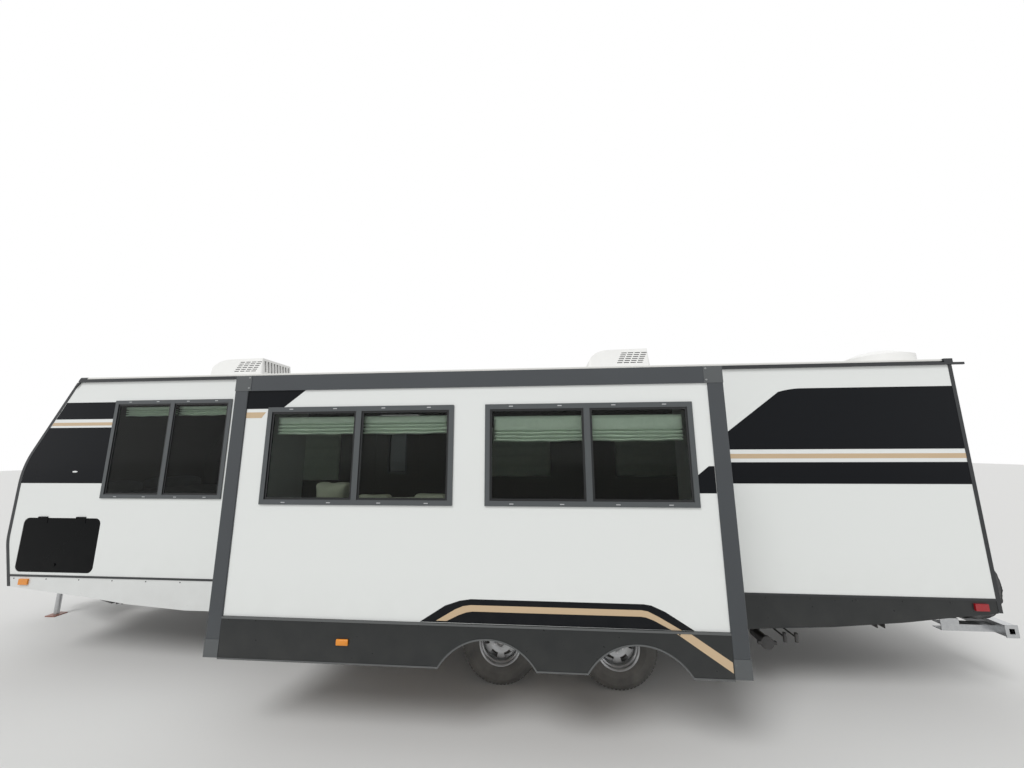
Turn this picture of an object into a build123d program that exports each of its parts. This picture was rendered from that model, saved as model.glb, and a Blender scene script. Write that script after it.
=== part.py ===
from build123d import *
import math
import os

# Travel caravan with one slide-out room, standing on its wheels and tongue jack.
# Millimetres. While modelling, x runs rearward from the nose, y = 0 is the centreline,
# -y is the road side with the slide-out room, +y is the door side, and z = 0 is the ground.

# Body shell
body_length = 10180
body_width = 2440
wall = 50
cap_thickness = 45
deck_top = 925
deck_thickness = 65
wall_top = 3110
roof_edge = 3160
roof_crown = 3245
roof_round = 14
roof_reveal = 22
belt_height = 20
belt_proud = 6
skirt_thickness = 20
nose_top_x = 520
nose_knee_z = 2111
nose_chin_z = 1290
nose_foot_x = 132
nose_foot_z = 811
nose_far_x = 6200
nose_swing = 30
knee_radius = 830
chin_radius = 500
moulding = 32
moulding_t = 3
nose_lap = 90
cap_lap = 75
rear_bottom_z = 815
skirt_low_z = 620

# Chassis
rail_y = 805
rail_height = 240
rail_flange = 90
rail_flange_t = 10
rail_web = 8
rail_front_x = 260
cross_width = 60
cross_x = (500, 1700, 2900, 4700, 6200, body_length - 2180, body_length - 1080, body_length - 200)
outrigger_x = cross_x[1:4] + cross_x[5:7]
outrigger_t = 40
outrigger_tip = 70
belly_t = 8

# Tongue
ball_x = -1090
ball_z = 470
socket_r = 30
socket_depth = 42
coupler_height = 110
coupler_lap = 60
coupler_nose_r = 55
channel_height = 130
channel_flange = 55
channel_t = 8
channel_rear = (950, 740)
channel_front = (-1000, 62)
tray_t = 8
jack_x = -820
jack_tube_r = 38
jack_leg_r = 30
jack_foot = 150
jack_foot_t = 12
jack_plate = 90
jack_head_z = 1080
jack_head_height = 190
jack_head_length = 175
jack_head_width = 120
jack_motor_r = 42
latch_length = 110
latch_width = 36
latch_height = 26
tray_lap = 20
cover_x0 = -700
cover_length = 530
cover_width = 660
cover_height = 520
cover_round = 110
cover_draft = 5
cover_edge = 45

# Running gear
axle_x = (5637, 6786)
tyre_r = 380
tyre_width = 235
tyre_tread = 190
tyre_bulge_r = 300
bead_r = 203
bead_width = 190
lip_r = 222
lip_t = 9
rim_t = 7
wheel_face_y = 1149
disc_t = 12
disc_offset = 30
window_count = 6
window_low_r = 92
window_high_r = 172
window_arc = 34
drum_r = 150
drum_width = 75
hub_r = 52
hub_length = 46
hub_draft = 6
arm_length = 150
arm_drop = 70
arm_t = 30
arm_width = 70
beam_size = 76
spindle_r = 30
running_gap = 0.3
arch_top_z = 830
lip_width = 12
lip_proud = 4

# Slide-out room, modelled where it stands slid out
slide_x0 = 3305
slide_x1 = 7584
slide_out = 843
slide_top = 2960
slide_bottom = 940
strip_width = 125
beam_height = 140
flange_lap = 70
fascia_t = 30
fascia_lap_t = 12
slide_wall_t = 40
slide_floor_t = 60
slide_roof_t = 50
slide_inner_y = 1130
opening_gap = 12
slide_skirt_t = 18
slide_skirt_low = 622
ledge_height = 16
strip_low = 632
strip_cap_top = 766
corner_plate = 152
plate_t = 3
fascia_edge = 4
arm_x = (3900, 7340)
slide_arm = 76
slide_arm_z = 740
slide_arm_in = 800
guide_t = 8
guide_in = 60

# Windows, doors and lids
frame_ring = 42
frame_lap = 18
frame_proud = 12
frame_depth = 30
frame_radius = 4
mullion = 50
sash = 18
sash_proud = 4
pane_t = 6
fit = 1
door_x0 = 3200
door_width = 760
door_z0 = 945
door_height = 1930
door_t = 42
door_gap = 6
door_radius = 60
door_window_x = (190, 570)
door_window_z = (1850, 2600)
latch_z = 1480
latch_plate = (90, 130)
latch_proud = 14
hinge_out = 8
hinge_set = 14
hinge_length = 110
lid_x0 = 180
lid_width = 950
lid_z0 = 967
lid_height = 566
lid_radius = 60
lid_t = 35
lock_r = 16
lock_up = 75
lock_proud = 8
platform_t = 15

# Roof, rear and underside fittings
rail_drip = 12
rail_lip = 18
spout_reach = 106
spout_drop = 60
ac_x = (1310, 6690)
ac_length = 850
ac_width = 700
ac_height = 345
ac_nose = 330
ac_nose_up = 95
ac_round = 60
ac_draft = 7
ac_fall = 8
slot_rows = 6
slot_columns = 4
slot_x = 400
slot_up = 232
slot_pitch = 27
slot_step = 13
slot_length = 70
slot_gap = 16
slot_height = 12
slot_depth = 10
louvre_count = 9
louvre_pitch = 62
louvre_width = 34
louvre_depth = 14
vent_x = 3300
vent_size = 400
vent_height = 120
vent_curb = 45
vent_draft = 14
dome_x = body_length - 335
dome_y = -820
dome_r = 300
dome_rim_z = 3262
dome_z = 3338
awning_x0 = 4050
awning_length = body_length - awning_x0 - 830
awning_r = 55
awning_cloth = 5
awning_gap = 5
awning_z = 2990
awning_arm = 45
awning_web = 4
awning_cap = 40
awning_foot = 90
bumper_x = body_length + 270
bumper_size = 102
bumper_z0 = 508
bumper_half = 950
bumper_wall = 6
bumper_hole = 48
bumper_rim = 6
bumper_arm = 60
bumper_arm_lap = 200
spare_y = -680
spare_z = 965
spare_r = 385
spare_width = 220
spare_gap = 30
spare_edge = 40
carrier_r = 45
carrier_size = 50
lamp_inset = 70
lamp_width = 270
lamp_z = (1560, 1720)
lamp_t = 35
marker_z = 3060
marker = (90, 26, 16)
marker_pitch = 260
marker_x = (330, body_length - 170)
side_marker = (110, 60)
side_marker_z = 862
leg_x = (1210, body_length - 830)
leg_length = 600
leg_y = 900
leg_size = 50
leg_z = 575
leg_pin_r = 8
cheek_gap = 5
cheek_t = 8
foot_width = 140
foot_low = 50
foot_high = 20
foot_t = 6
drain_share = 0.464
valve_share = 0.54
drain_z = 470
drain_r = 45
drain_in = 70
drain_cap_r = 58
drain_cap_t = 26
valve_z = 520
valve_r = 8
valve_grip = 80
step_width = 620
step_inset = 60
step_depth = 420
step_height = 70
step_tread = 190
step_t = 5

half = body_width / 2
deck_bottom = deck_top - deck_thickness
rail_bottom = deck_bottom - rail_height
deck_half = half - skirt_thickness
inner_half = half - wall
slide_face = half + slide_out
slide_skin = slide_face - fascia_lap_t
slide_lining = slide_skin - slide_wall_t
room_x0 = slide_x0 + flange_lap
room_x1 = slide_x1 - flange_lap
room_top = slide_top - flange_lap
nose_x = nose_far_x - math.hypot(nose_far_x, half)
wheel_y = wheel_face_y - tyre_width / 2
front_reach = ball_x - coupler_nose_r
rear_reach = bumper_x + bumper_size + bumper_rim
left_reach = slide_face + lip_proud
right_reach = half + awning_gap + 2 * awning_r
skirt_back = slide_face - slide_skirt_t
origin_x = (front_reach + rear_reach) / 2
origin_y = (right_reach - left_reach) / 2
os.makedirs("parts", exist_ok=True)


# Shared tools and outlines

def save(piece, name):
    """Labels a piece and writes it with the origin under the middle of the caravan."""
    solid = piece.part.moved(Location((-origin_x, -origin_y, 0)))
    solid.label = name
    export_step(solid, f"parts/{name}.step")


def side_plane(side, y):
    """The upright plane at y from the centreline, on side -1 (road) or +1 (door)."""
    return Plane.XZ.offset(-side * y)


def block(low, high, mode=Mode.ADD):
    """A block from its lowest to its highest corner."""
    middle = [(a + b) / 2 for a, b in zip(low, high)]
    with Locations(tuple(middle)):
        Box(*[b - a for a, b in zip(low, high)], mode=mode)


def side_block(side, x0, x1, y0, y1, z0, z1, mode=Mode.ADD):
    """A block beside the centreline, between the distances y0 and y1 from it."""
    low, high = sorted((side * y0, side * y1))
    block((x0, low, z0), (x1, high, z1), mode)


def nose_void(inset):
    """The space ahead of the bowed, raked nose, whose face moves rearward by inset."""
    turn = math.radians(-nose_swing / 2)
    plane = Plane(
        origin=(nose_far_x, 0, 0),
        x_dir=(math.cos(turn), math.sin(turn), 0),
        z_dir=(math.sin(turn), -math.cos(turn), 0),
    )
    rake = nose_top_x / (wall_top - nose_knee_z)
    tuck = nose_foot_x / (nose_chin_z - nose_foot_z)
    high = roof_crown + cap_thickness
    low = skirt_low_z - cap_thickness
    side_points = (
        (rake * (high - nose_knee_z), high),
        (0, nose_knee_z),
        (0, nose_chin_z),
        (tuck * (nose_chin_z - low), low),
    )
    ahead = nose_x - half
    points = [(inset - math.hypot(nose_far_x - x, half), z) for x, z in side_points]
    with BuildPart() as void:
        with BuildSketch(plane):
            with BuildLine():
                FilletPolyline(*points, radius=[knee_radius, chin_radius])
                Polyline(points[-1], (ahead - nose_far_x, low), (ahead - nose_far_x, high), points[0])
            make_face()
        revolve(axis=Axis((nose_far_x, 0, 0), (0, 0, 1)), revolution_arc=nose_swing)
    return void.part


outside = nose_void(0)
inside = nose_void(cap_thickness)

# x0, x1, z0, z1, x of the mullion: outer sizes of each window frame
road_windows = ((1080, 2545, 1758, 2870, 1812),)
door_windows = (
    (1080, 2545, 1758, 2870, 1812),
    (4700, 6200, 1828, 2667, 5450),
    (7300, 8800, 1828, 2667, 8050),
)
slide_windows = ((3643, 5339, 1828, 2667, 4491), (5610, 7322, 1828, 2667, 6466))
door_window = (door_x0 + door_window_x[0], door_x0 + door_window_x[1], *door_window_z, None)
wall_windows = [(-1, half, row) for row in road_windows] + [(1, half, row) for row in door_windows]


def window_hole(side, face, row, depth):
    """Cuts the hole that a window's frame fits in."""
    x0, x1, z0, z1, bar = row
    with BuildSketch(side_plane(side, face)) as hole:
        with Locations(((x0 + x1) / 2, (z0 + z1) / 2)):
            RectangleRounded(x1 - x0 - 2 * frame_lap, z1 - z0 - 2 * frame_lap, frame_radius)
    extrude(hole.sketch, amount=side * depth, mode=Mode.SUBTRACT)


def window_frame(side, face, row):
    """A frame: a ring on the wall's face, its sleeve in the hole, its upright bar and the sashes."""
    x0, x1, z0, z1, bar = row
    middle = ((x0 + x1) / 2, (z0 + z1) / 2)
    wide, high = x1 - x0, z1 - z0
    for plane, shrink, depth in (
        (side_plane(side, face), 0, -side * frame_proud),
        (side_plane(side, face), 2 * (frame_lap + fit), side * frame_depth),
    ):
        with BuildSketch(plane) as ring:
            with Locations(middle):
                RectangleRounded(wide - shrink, high - shrink, frame_radius)
                Rectangle(wide - 2 * frame_ring, high - 2 * frame_ring, mode=Mode.SUBTRACT)
        extrude(ring.sketch, amount=depth)
    bars = [(bar - mullion / 2, bar + mullion / 2)] if bar else []
    for left, right in bars:
        side_block(side, left, right, face, face + frame_proud, z0 + frame_ring, z1 - frame_ring)
    stops = [x0 + frame_ring, *[x for ends in bars for x in ends], x1 - frame_ring]
    for left, right in zip(stops[::2], stops[1::2]):
        low, high = z0 + frame_ring, z1 - frame_ring
        side_block(side, left, right, face, face + sash_proud, low, high)
        side_block(side, left + sash, right - sash, face, face + sash_proud, low + sash, high - sash,
                   mode=Mode.SUBTRACT)


def window_pane(side, face, row):
    """The pane, flush inside the sleeve and behind the upright bar."""
    x0, x1, z0, z1, bar = row
    side_block(side, x0 + frame_ring, x1 - frame_ring, face - pane_t, face,
               z0 + frame_ring, z1 - frame_ring)


def rounded_panel(side, face, x0, z0, wide, high, radius, depth, mode=Mode.ADD):
    """A panel with rounded corners, or its hole, from the wall's face inward by depth."""
    with BuildSketch(side_plane(side, face)) as outline:
        with Locations((x0 + wide / 2, z0 + high / 2)):
            RectangleRounded(wide, high, radius)
    extrude(outline.sketch, amount=side * depth, mode=mode)


# Chassis

with BuildPart() as chassis_rails:
    for side in (-1, 1):
        with BuildSketch(Plane.YZ.offset(rail_front_x)):
            with Locations((side * rail_y, rail_bottom + rail_height / 2)):
                Rectangle(rail_flange, rail_height)
                for edge in (-1, 1):
                    with Locations((edge * (rail_flange + rail_web) / 4, 0)):
                        Rectangle((rail_flange - rail_web) / 2, rail_height - 2 * rail_flange_t,
                                  mode=Mode.SUBTRACT)
        extrude(amount=body_length - wall - rail_front_x)
    guide_size = slide_arm + 2 * (guide_t + running_gap)
    for x in arm_x:
        with Locations((x, -rail_y, slide_arm_z)):
            Box(guide_size, rail_flange, guide_size, mode=Mode.SUBTRACT)
save(chassis_rails, "chassis_rails")

with BuildPart() as cross_frame:
    web_y = rail_y - rail_web / 2
    web_out = rail_y + rail_web / 2
    low, high = rail_bottom + rail_flange_t, deck_bottom - rail_flange_t
    for x in cross_x:
        block((x - cross_width / 2, -web_y, low), (x + cross_width / 2, web_y, high))
    for x in outrigger_x:
        for side in (-1, 1):
            with BuildSketch(Plane.YZ.offset(x - outrigger_t / 2)):
                with BuildLine():
                    Polyline(
                        (side * web_out, low),
                        (side * web_out, high),
                        (side * (rail_y + rail_flange / 2), high),
                        (side * (rail_y + rail_flange / 2), deck_bottom),
                        (side * deck_half, deck_bottom),
                        (side * deck_half, deck_bottom - outrigger_tip),
                        close=True,
                    )
                make_face()
            extrude(amount=outrigger_t)
save(cross_frame, "cross_frame")

with BuildPart() as underbelly:
    edge_y = rail_y - rail_flange / 2
    top = rail_bottom + rail_flange_t
    block((cross_x[0], -edge_y, top - belly_t), (cross_x[-1], edge_y, top))
save(underbelly, "underbelly")

# Tongue

channel_run = math.dist(channel_rear, channel_front)
channel_turn = math.atan2(channel_rear[1] - channel_front[1], channel_rear[0] - channel_front[0])
channel_plane = Plane(
    origin=(channel_front[0], channel_front[1], rail_bottom - channel_height),
    x_dir=(-math.sin(channel_turn), math.cos(channel_turn), 0),
    z_dir=(math.cos(channel_turn), math.sin(channel_turn), 0),
)


def channel_y(x):
    """The inner face of the tongue's channels at x."""
    run = (x - channel_front[0]) / (channel_rear[0] - channel_front[0])
    return channel_front[1] + run * (channel_rear[1] - channel_front[1])


with BuildPart() as a_frame:
    with BuildSketch(channel_plane):
        with Locations((0, 0)):
            Rectangle(channel_flange, channel_height, align=(Align.MIN, Align.MIN))
        with Locations((channel_t, channel_t)):
            Rectangle(channel_flange, channel_height - 2 * channel_t,
                      align=(Align.MIN, Align.MIN), mode=Mode.SUBTRACT)
    extrude(amount=channel_run)
    mirror(about=Plane.XZ)
    for x0, x1 in ((jack_x - jack_plate, jack_x + jack_plate), (cover_x0, cover_x0 + cover_length)):
        with BuildSketch(Plane.XY.offset(rail_bottom)):
            with BuildLine():
                Polyline(
                    (x0, channel_y(x0) + tray_lap),
                    (x1, channel_y(x1) + tray_lap),
                    (x1, -channel_y(x1) - tray_lap),
                    (x0, -channel_y(x0) - tray_lap),
                    close=True,
                )
            make_face()
        extrude(amount=tray_t)
    with Locations((jack_x, 0, rail_bottom)):
        Cylinder(jack_tube_r + running_gap, 4 * tray_t, mode=Mode.SUBTRACT)
save(a_frame, "a_frame")

with BuildPart() as coupler:
    base = ball_z - socket_depth / 2
    with BuildSketch(Plane.XY.offset(base)):
        with BuildLine():
            rear_x = channel_front[0] + coupler_lap
            Polyline(
                (ball_x, -coupler_nose_r),
                (channel_front[0], -channel_front[1] + 1),
                (rear_x, -channel_y(rear_x) + channel_t),
                (rear_x, channel_y(rear_x) - channel_t),
                (channel_front[0], channel_front[1] - 1),
                (ball_x, coupler_nose_r),
            )
            ThreePointArc((ball_x, coupler_nose_r), (front_reach, 0), (ball_x, -coupler_nose_r))
        make_face()
    extrude(amount=coupler_height)
    top = base + coupler_height
    with BuildSketch(Plane.XZ.offset(-latch_width / 2)):
        with BuildLine():
            Polyline(
                (ball_x, top),
                (ball_x, top + latch_height / 2),
                (ball_x + latch_length / 2, top + latch_height),
                (ball_x + latch_length, top + latch_height),
                (ball_x + latch_length, top),
                close=True,
            )
        make_face()
    extrude(amount=latch_width)
    with Locations((ball_x, 0, base + socket_depth / 2)):
        Cylinder(socket_r, socket_depth, mode=Mode.SUBTRACT)
save(coupler, "coupler")

with BuildPart() as tongue_jack:
    tube_low = rail_bottom - channel_height
    with Locations((jack_x, 0, jack_foot_t / 2)):
        Box(jack_foot, jack_foot, jack_foot_t)
    with Locations((jack_x, 0, 0)):
        Cylinder(jack_leg_r, jack_head_z, align=(Align.CENTER, Align.CENTER, Align.MIN))
    with Locations((jack_x, 0, tube_low)):
        Cylinder(jack_tube_r, jack_head_z - tube_low, align=(Align.CENTER, Align.CENTER, Align.MIN))
    with Locations((jack_x, 0, rail_bottom + tray_t)):
        Cylinder(2 * jack_tube_r, tray_t, align=(Align.CENTER, Align.CENTER, Align.MIN))
    # The electric head: a drafted housing with its motor standing behind the leg
    with BuildSketch(Plane.XY.offset(jack_head_z - jack_head_height)):
        with Locations((jack_x + jack_head_length / 2 - jack_motor_r - jack_tube_r, 0)):
            RectangleRounded(jack_head_length, jack_head_width, jack_leg_r)
    extrude(amount=jack_head_height, taper=cover_draft)
    with Locations((jack_x + jack_tube_r + jack_motor_r / 2, 0, jack_head_z)):
        Cylinder(jack_motor_r, jack_head_height / 3)
save(tongue_jack, "tongue_jack")

with BuildPart() as propane_cover:
    with BuildSketch(Plane.XY.offset(rail_bottom + tray_t)):
        with Locations((cover_x0 + cover_length / 2, 0)):
            RectangleRounded(cover_length, cover_width, cover_round)
    extrude(amount=cover_height, taper=cover_draft)
    chamfer(propane_cover.faces().sort_by(Axis.Z)[-1].edges(), length=cover_edge)
save(propane_cover, "propane_cover")

# Body shell

lid_hole = (lid_x0 - door_gap, lid_z0 - door_gap, lid_width + 2 * door_gap,
            lid_height + 2 * door_gap, lid_radius + door_gap)
door_hole = (door_x0 - door_gap, door_z0 - door_gap, door_width + 2 * door_gap,
             door_height + 2 * door_gap, door_radius + door_gap)

with BuildPart() as deck:
    block((nose_x, -deck_half, deck_bottom), (body_length - wall, deck_half, deck_top))
    add(inside, mode=Mode.SUBTRACT)
save(deck, "deck")

with BuildPart() as wall_left:
    side_block(-1, nose_x, body_length, inner_half, half, deck_top, wall_top)
    add(outside, mode=Mode.SUBTRACT)
    for row in road_windows:
        window_hole(-1, half, row, wall)
    rounded_panel(-1, half, *lid_hole, wall, Mode.SUBTRACT)
    side_block(-1, room_x0 - opening_gap, room_x1 + opening_gap, inner_half, half,
               deck_top, room_top + opening_gap, mode=Mode.SUBTRACT)
save(wall_left, "wall_left")

with BuildPart() as wall_right:
    side_block(1, nose_x, body_length, inner_half, half, deck_top, wall_top)
    add(outside, mode=Mode.SUBTRACT)
    for row in door_windows:
        window_hole(1, half, row, wall)
    for hole in (lid_hole, door_hole):
        rounded_panel(1, half, *hole, wall, Mode.SUBTRACT)
save(wall_right, "wall_right")

with BuildPart() as wall_rear:
    block((body_length - wall, -inner_half, rear_bottom_z), (body_length, inner_half, wall_top))
save(wall_rear, "wall_rear")

with BuildPart() as front_cap:
    add(inside)
    block((nose_x - wall, -inner_half, nose_foot_z), (body_length / 2, inner_half, wall_top),
          mode=Mode.INTERSECT)
    add(outside, mode=Mode.SUBTRACT)
save(front_cap, "front_cap")

def roof_bar(x0, x1, lift):
    """The crowned roof between two places along the body, its surface raised by lift."""
    reach = half + lift
    with BuildPart() as bar:
        with BuildSketch(Plane.YZ.offset(x0)) as section:
            with BuildLine():
                Polyline((reach, roof_edge), (reach, wall_top), (-reach, wall_top), (-reach, roof_edge))
                ThreePointArc((-reach, roof_edge), (0, roof_crown + lift), (reach, roof_edge))
            make_face()
            fillet(section.vertices().group_by(Axis.Y)[-1], radius=roof_round + lift)
        extrude(amount=x1 - x0)
        add(outside, mode=Mode.SUBTRACT)
    return bar.part


with BuildPart() as roof:
    add(roof_bar(nose_x, body_length, 0))
save(roof, "roof")

# Gutter rails with a spout at each end, and the mouldings over the roof's front and rear edges
rail_start = nose_top_x + wall
rail_low = wall_top - rail_drip
spout_plan = (
    (rail_start + spout_reach, rail_low),
    (rail_start, rail_low),
    (rail_start - spout_reach / 2, rail_low - spout_drop),
    (rail_start - spout_reach / 2 - rail_drip, rail_low - spout_drop + rail_drip),
    (rail_start - rail_drip, rail_low + rail_drip),
    (rail_start + spout_reach, rail_low + rail_drip),
)
with BuildPart() as roof_rails:
    add(roof_bar(nose_x, body_length / 4, moulding_t))
    add(nose_void(nose_lap), mode=Mode.INTERSECT)
    add(roof_bar(body_length - moulding, body_length + moulding_t, moulding_t))
    add(roof.part, mode=Mode.SUBTRACT)
    for side in (-1, 1):
        lip_y = half + rail_lip
        side_block(side, rail_start - rail_drip, body_length + moulding_t, half, half + moulding_t,
                   rail_low, roof_edge - roof_reveal)
        side_block(side, rail_start, body_length + spout_reach, half + moulding_t, lip_y,
                   rail_low, rail_low + moulding_t)
        side_block(side, rail_start, body_length + spout_reach, lip_y, lip_y + moulding_t,
                   rail_low, wall_top + rail_drip)
        side_block(side, body_length - cap_lap, body_length + moulding_t, half, lip_y + moulding_t,
                   rail_low, roof_edge)
        with BuildSketch(side_plane(side, half + moulding_t)) as spout:
            with BuildLine():
                Polyline(*spout_plan, close=True)
            make_face()
        extrude(spout.sketch, amount=-side * (rail_lip - moulding_t))
save(roof_rails, "roof_rails")

with BuildPart() as body_block:
    block((nose_x - wall, -half, 0), (body_length / 3, half, roof_crown))
    add(outside, mode=Mode.SUBTRACT)

with BuildPart() as body_mouldings:
    for side in (-1, 1):
        side_block(side, nose_x - wall, body_length / 4, half - moulding, half + moulding_t,
                   nose_foot_z, wall_top - rail_drip - fit)
    add(nose_void(moulding), mode=Mode.INTERSECT)
    add(nose_void(-moulding_t), mode=Mode.SUBTRACT)
    add(body_block.part, mode=Mode.SUBTRACT)
    for side in (-1, 1):
        side_block(side, body_length - moulding, body_length + moulding_t, half, half + moulding_t,
                   rear_bottom_z, wall_top - rail_drip - fit)
        side_block(side, body_length, body_length + moulding_t, half - moulding, half,
                   rear_bottom_z, wall_top - rail_drip - fit)
save(body_mouldings, "body_mouldings")

# Belt trims run between the mouldings, the slide-out room and the door
belt_rows = (
    (-1, nose_x, slide_x0 - fit),
    (-1, slide_x1 + fit, body_length - moulding - fit),
    (1, nose_x, door_x0 - door_gap - fit),
    (1, door_x0 + door_width + door_gap + fit, body_length - moulding - fit),
)
with BuildPart() as belt_trims:
    for side, x0, x1 in belt_rows:
        side_block(side, x0, x1, half, half + belt_proud, deck_top - belt_height / 2,
                   deck_top + belt_height / 2)
    add(nose_void(moulding + fit), mode=Mode.SUBTRACT)
save(belt_trims, "belt_trims")

# Lower edges of the skirts, from the front and from the rear, seen from the side
front_hem = ((nose_foot_x, nose_foot_z), (400, 785), (1120, 720), (1620, 662), (2290, skirt_low_z))
rear_hem = ((body_length, rear_bottom_z), (9810, 772), (9350, 713), (8720, 656), (7990, skirt_low_z))
skirt_top = deck_top - belt_height / 2
skirt_split = slide_x0 - fit


def skirt(side, hem, x_end):
    """A skirt panel from the belt down to its hem, as far as x_end."""
    with BuildSketch(side_plane(side, deck_half)) as outline:
        with BuildLine():
            Polyline(*hem, (x_end, skirt_low_z), (x_end, skirt_top), (hem[0][0], skirt_top), close=True)
        make_face()
    extrude(outline.sketch, amount=-side * skirt_thickness)


def arch_lips(side, face):
    """The raised lips round both wheel arches, on a skirt's face."""
    with BuildSketch(side_plane(side, face)) as lips:
        for x in axle_x:
            with Locations((x, tyre_r)):
                Circle(arch_top_z - tyre_r + lip_width)
        for x in axle_x:
            with Locations((x, tyre_r)):
                Circle(arch_top_z - tyre_r, mode=Mode.SUBTRACT)
        with Locations(((axle_x[0] + axle_x[1]) / 2, 0)):
            Rectangle(slide_x1 - slide_x0, 2 * skirt_low_z, mode=Mode.SUBTRACT)
    extrude(lips.sketch, amount=-side * lip_proud)


with BuildPart() as skirts_front:
    for side in (-1, 1):
        skirt(side, front_hem, skirt_split)
    add(nose_void(moulding + fit), mode=Mode.SUBTRACT)
save(skirts_front, "skirts_front")

with BuildPart() as skirts_rear:
    skirt(-1, rear_hem, slide_x1 + fit)
    skirt(1, rear_hem, skirt_split + fit)
    arch_lips(1, half)
    for x in axle_x:
        with Locations((x, half, tyre_r)):
            Cylinder(arch_top_z - tyre_r, 3 * skirt_thickness, rotation=(90, 0, 0), mode=Mode.SUBTRACT)
    block((body_length - moulding - fit, -half, 0), (body_length + wall, half, roof_edge),
          mode=Mode.SUBTRACT)
save(skirts_rear, "skirts_rear")

with BuildPart() as window_frames:
    for side, face, row in wall_windows:
        window_frame(side, face, row)
save(window_frames, "window_frames")

with BuildPart() as window_glass:
    for side, face, row in wall_windows:
        window_pane(side, face, row)
save(window_glass, "window_glass")

with BuildPart() as bed_platform:
    platform_x = lid_x0 + lid_width + wall
    platform_z = lid_z0 + lid_height + door_gap
    block((nose_x, -inner_half, platform_z), (platform_x, inner_half, platform_z + platform_t))
    block((platform_x - platform_t, -inner_half, deck_top), (platform_x, inner_half, platform_z))
    add(inside, mode=Mode.SUBTRACT)
save(bed_platform, "bed_platform")

# Running gear

beam_z = tyre_r + arm_drop
beam_half = wheel_y - tyre_width / 2 - arm_t - wall
with BuildPart() as axle_beams:
    for x in axle_x:
        beam_x = x - arm_length
        with Locations((beam_x, 0, beam_z)):
            Box(beam_size, 2 * beam_half, beam_size)
        for side in (-1, 1):
            side_block(side, beam_x - beam_size, beam_x + beam_size, rail_y - rail_web,
                       rail_y + rail_web, beam_z, rail_bottom)
save(axle_beams, "axle_beams")

with BuildPart() as torsion_arms:
    for x in axle_x:
        for side in (-1, 1):
            with BuildSketch(side_plane(side, beam_half)):
                with Locations((x - arm_length / 2, tyre_r + arm_drop / 2)):
                    SlotCenterToCenter(math.hypot(arm_length, arm_drop), arm_width,
                                       rotation=-math.degrees(math.atan2(arm_drop, arm_length)))
            extrude(amount=-side * arm_t)
            with Locations((x, side * (beam_half + arm_t), tyre_r)):
                Cylinder(spindle_r, wheel_y - beam_half, rotation=(-side * 90, 0, 0),
                         align=(Align.CENTER, Align.CENTER, Align.MIN))
save(torsion_arms, "torsion_arms")


def wheel_plane(x, side):
    """A wheel's section plane: local x is outward along the axle and local y is the radius."""
    return Plane(origin=(x, side * wheel_y, tyre_r), x_dir=(0, side, 0), z_dir=(side, 0, 0))


# Sections: distance across from the wheel's middle plane, then the radius
bead = bead_width / 2
tyre_section = (
    (-1, bead, bead_r),
    (1, bead, bead_r),
    (1, tyre_width / 2, tyre_bulge_r),
    (1, tyre_tread / 2, tyre_r),
    (-1, tyre_tread / 2, tyre_r),
    (-1, tyre_width / 2, tyre_bulge_r),
)
barrel_r = bead_r - rim_t
wheel_section = (
    (disc_offset, 0),
    (disc_offset, spindle_r + running_gap),
    (disc_offset - drum_width, spindle_r + running_gap),
    (disc_offset - drum_width, drum_r),
    (disc_offset - disc_t, barrel_r - rim_t),
    (-bead - lip_t, barrel_r),
    (-bead - lip_t, lip_r),
    (-bead, bead_r),
    (bead, bead_r),
    (bead + lip_t, lip_r),
    (bead + lip_t, barrel_r),
    (disc_offset + disc_t, barrel_r - rim_t),
    (disc_offset, hub_r),
    (disc_offset + hub_length, hub_r - hub_draft),
    (disc_offset + hub_length, 0),
)
window_turn = math.radians(window_arc / 2)
window_plan = [
    (r * math.cos(turn), r * math.sin(turn))
    for r, turn in (
        (window_low_r, -window_turn / 2),
        (window_high_r, -window_turn),
        (window_high_r, window_turn),
        (window_low_r, window_turn / 2),
    )
]
corners = ((0, -1, "front_left"), (1, -1, "rear_left"), (0, 1, "front_right"), (1, 1, "rear_right"))
for index, side, place in corners:
    x = axle_x[index]
    spin = Axis((x, 0, tyre_r), (0, 1, 0))
    with BuildPart() as tyre:
        with BuildSketch(wheel_plane(x, side)):
            with BuildLine():
                Polyline(*[(edge * across, up) for edge, across, up in tyre_section], close=True)
            make_face()
        revolve(axis=spin)
    save(tyre, f"tyre_{place}")
    with BuildPart() as wheel:
        with BuildSketch(wheel_plane(x, side)):
            with BuildLine():
                Polyline(*wheel_section, close=True)
            make_face()
        revolve(axis=spin)
        with BuildSketch(Plane(origin=(x, side * (wheel_y + disc_offset), tyre_r), z_dir=(0, side, 0))):
            with PolarLocations(0, window_count):
                with BuildLine():
                    Polyline(*window_plan, close=True)
                make_face()
        extrude(amount=3 * disc_t, both=True, mode=Mode.SUBTRACT)
    save(wheel, f"wheel_{place}")

# Slide-out room

with BuildPart() as slide_wall:
    block((room_x0, -slide_skin, slide_bottom), (room_x1, -slide_lining, room_top))
    for row in slide_windows:
        window_hole(-1, slide_skin, row, slide_wall_t)
save(slide_wall, "slide_wall")

with BuildPart() as slide_ends:
    for x0, x1 in ((room_x0, room_x0 + slide_wall_t), (room_x1 - slide_wall_t, room_x1)):
        block((x0, -slide_lining, slide_bottom + slide_floor_t),
              (x1, -slide_inner_y, room_top - slide_roof_t))
save(slide_ends, "slide_ends")

with BuildPart() as slide_floor:
    block((room_x0, -slide_lining, slide_bottom), (room_x1, -slide_inner_y, slide_bottom + slide_floor_t))
save(slide_floor, "slide_floor")

with BuildPart() as slide_roof:
    block((room_x0, -slide_lining, room_top - slide_roof_t), (room_x1, -slide_inner_y, room_top))
save(slide_roof, "slide_roof")

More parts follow.
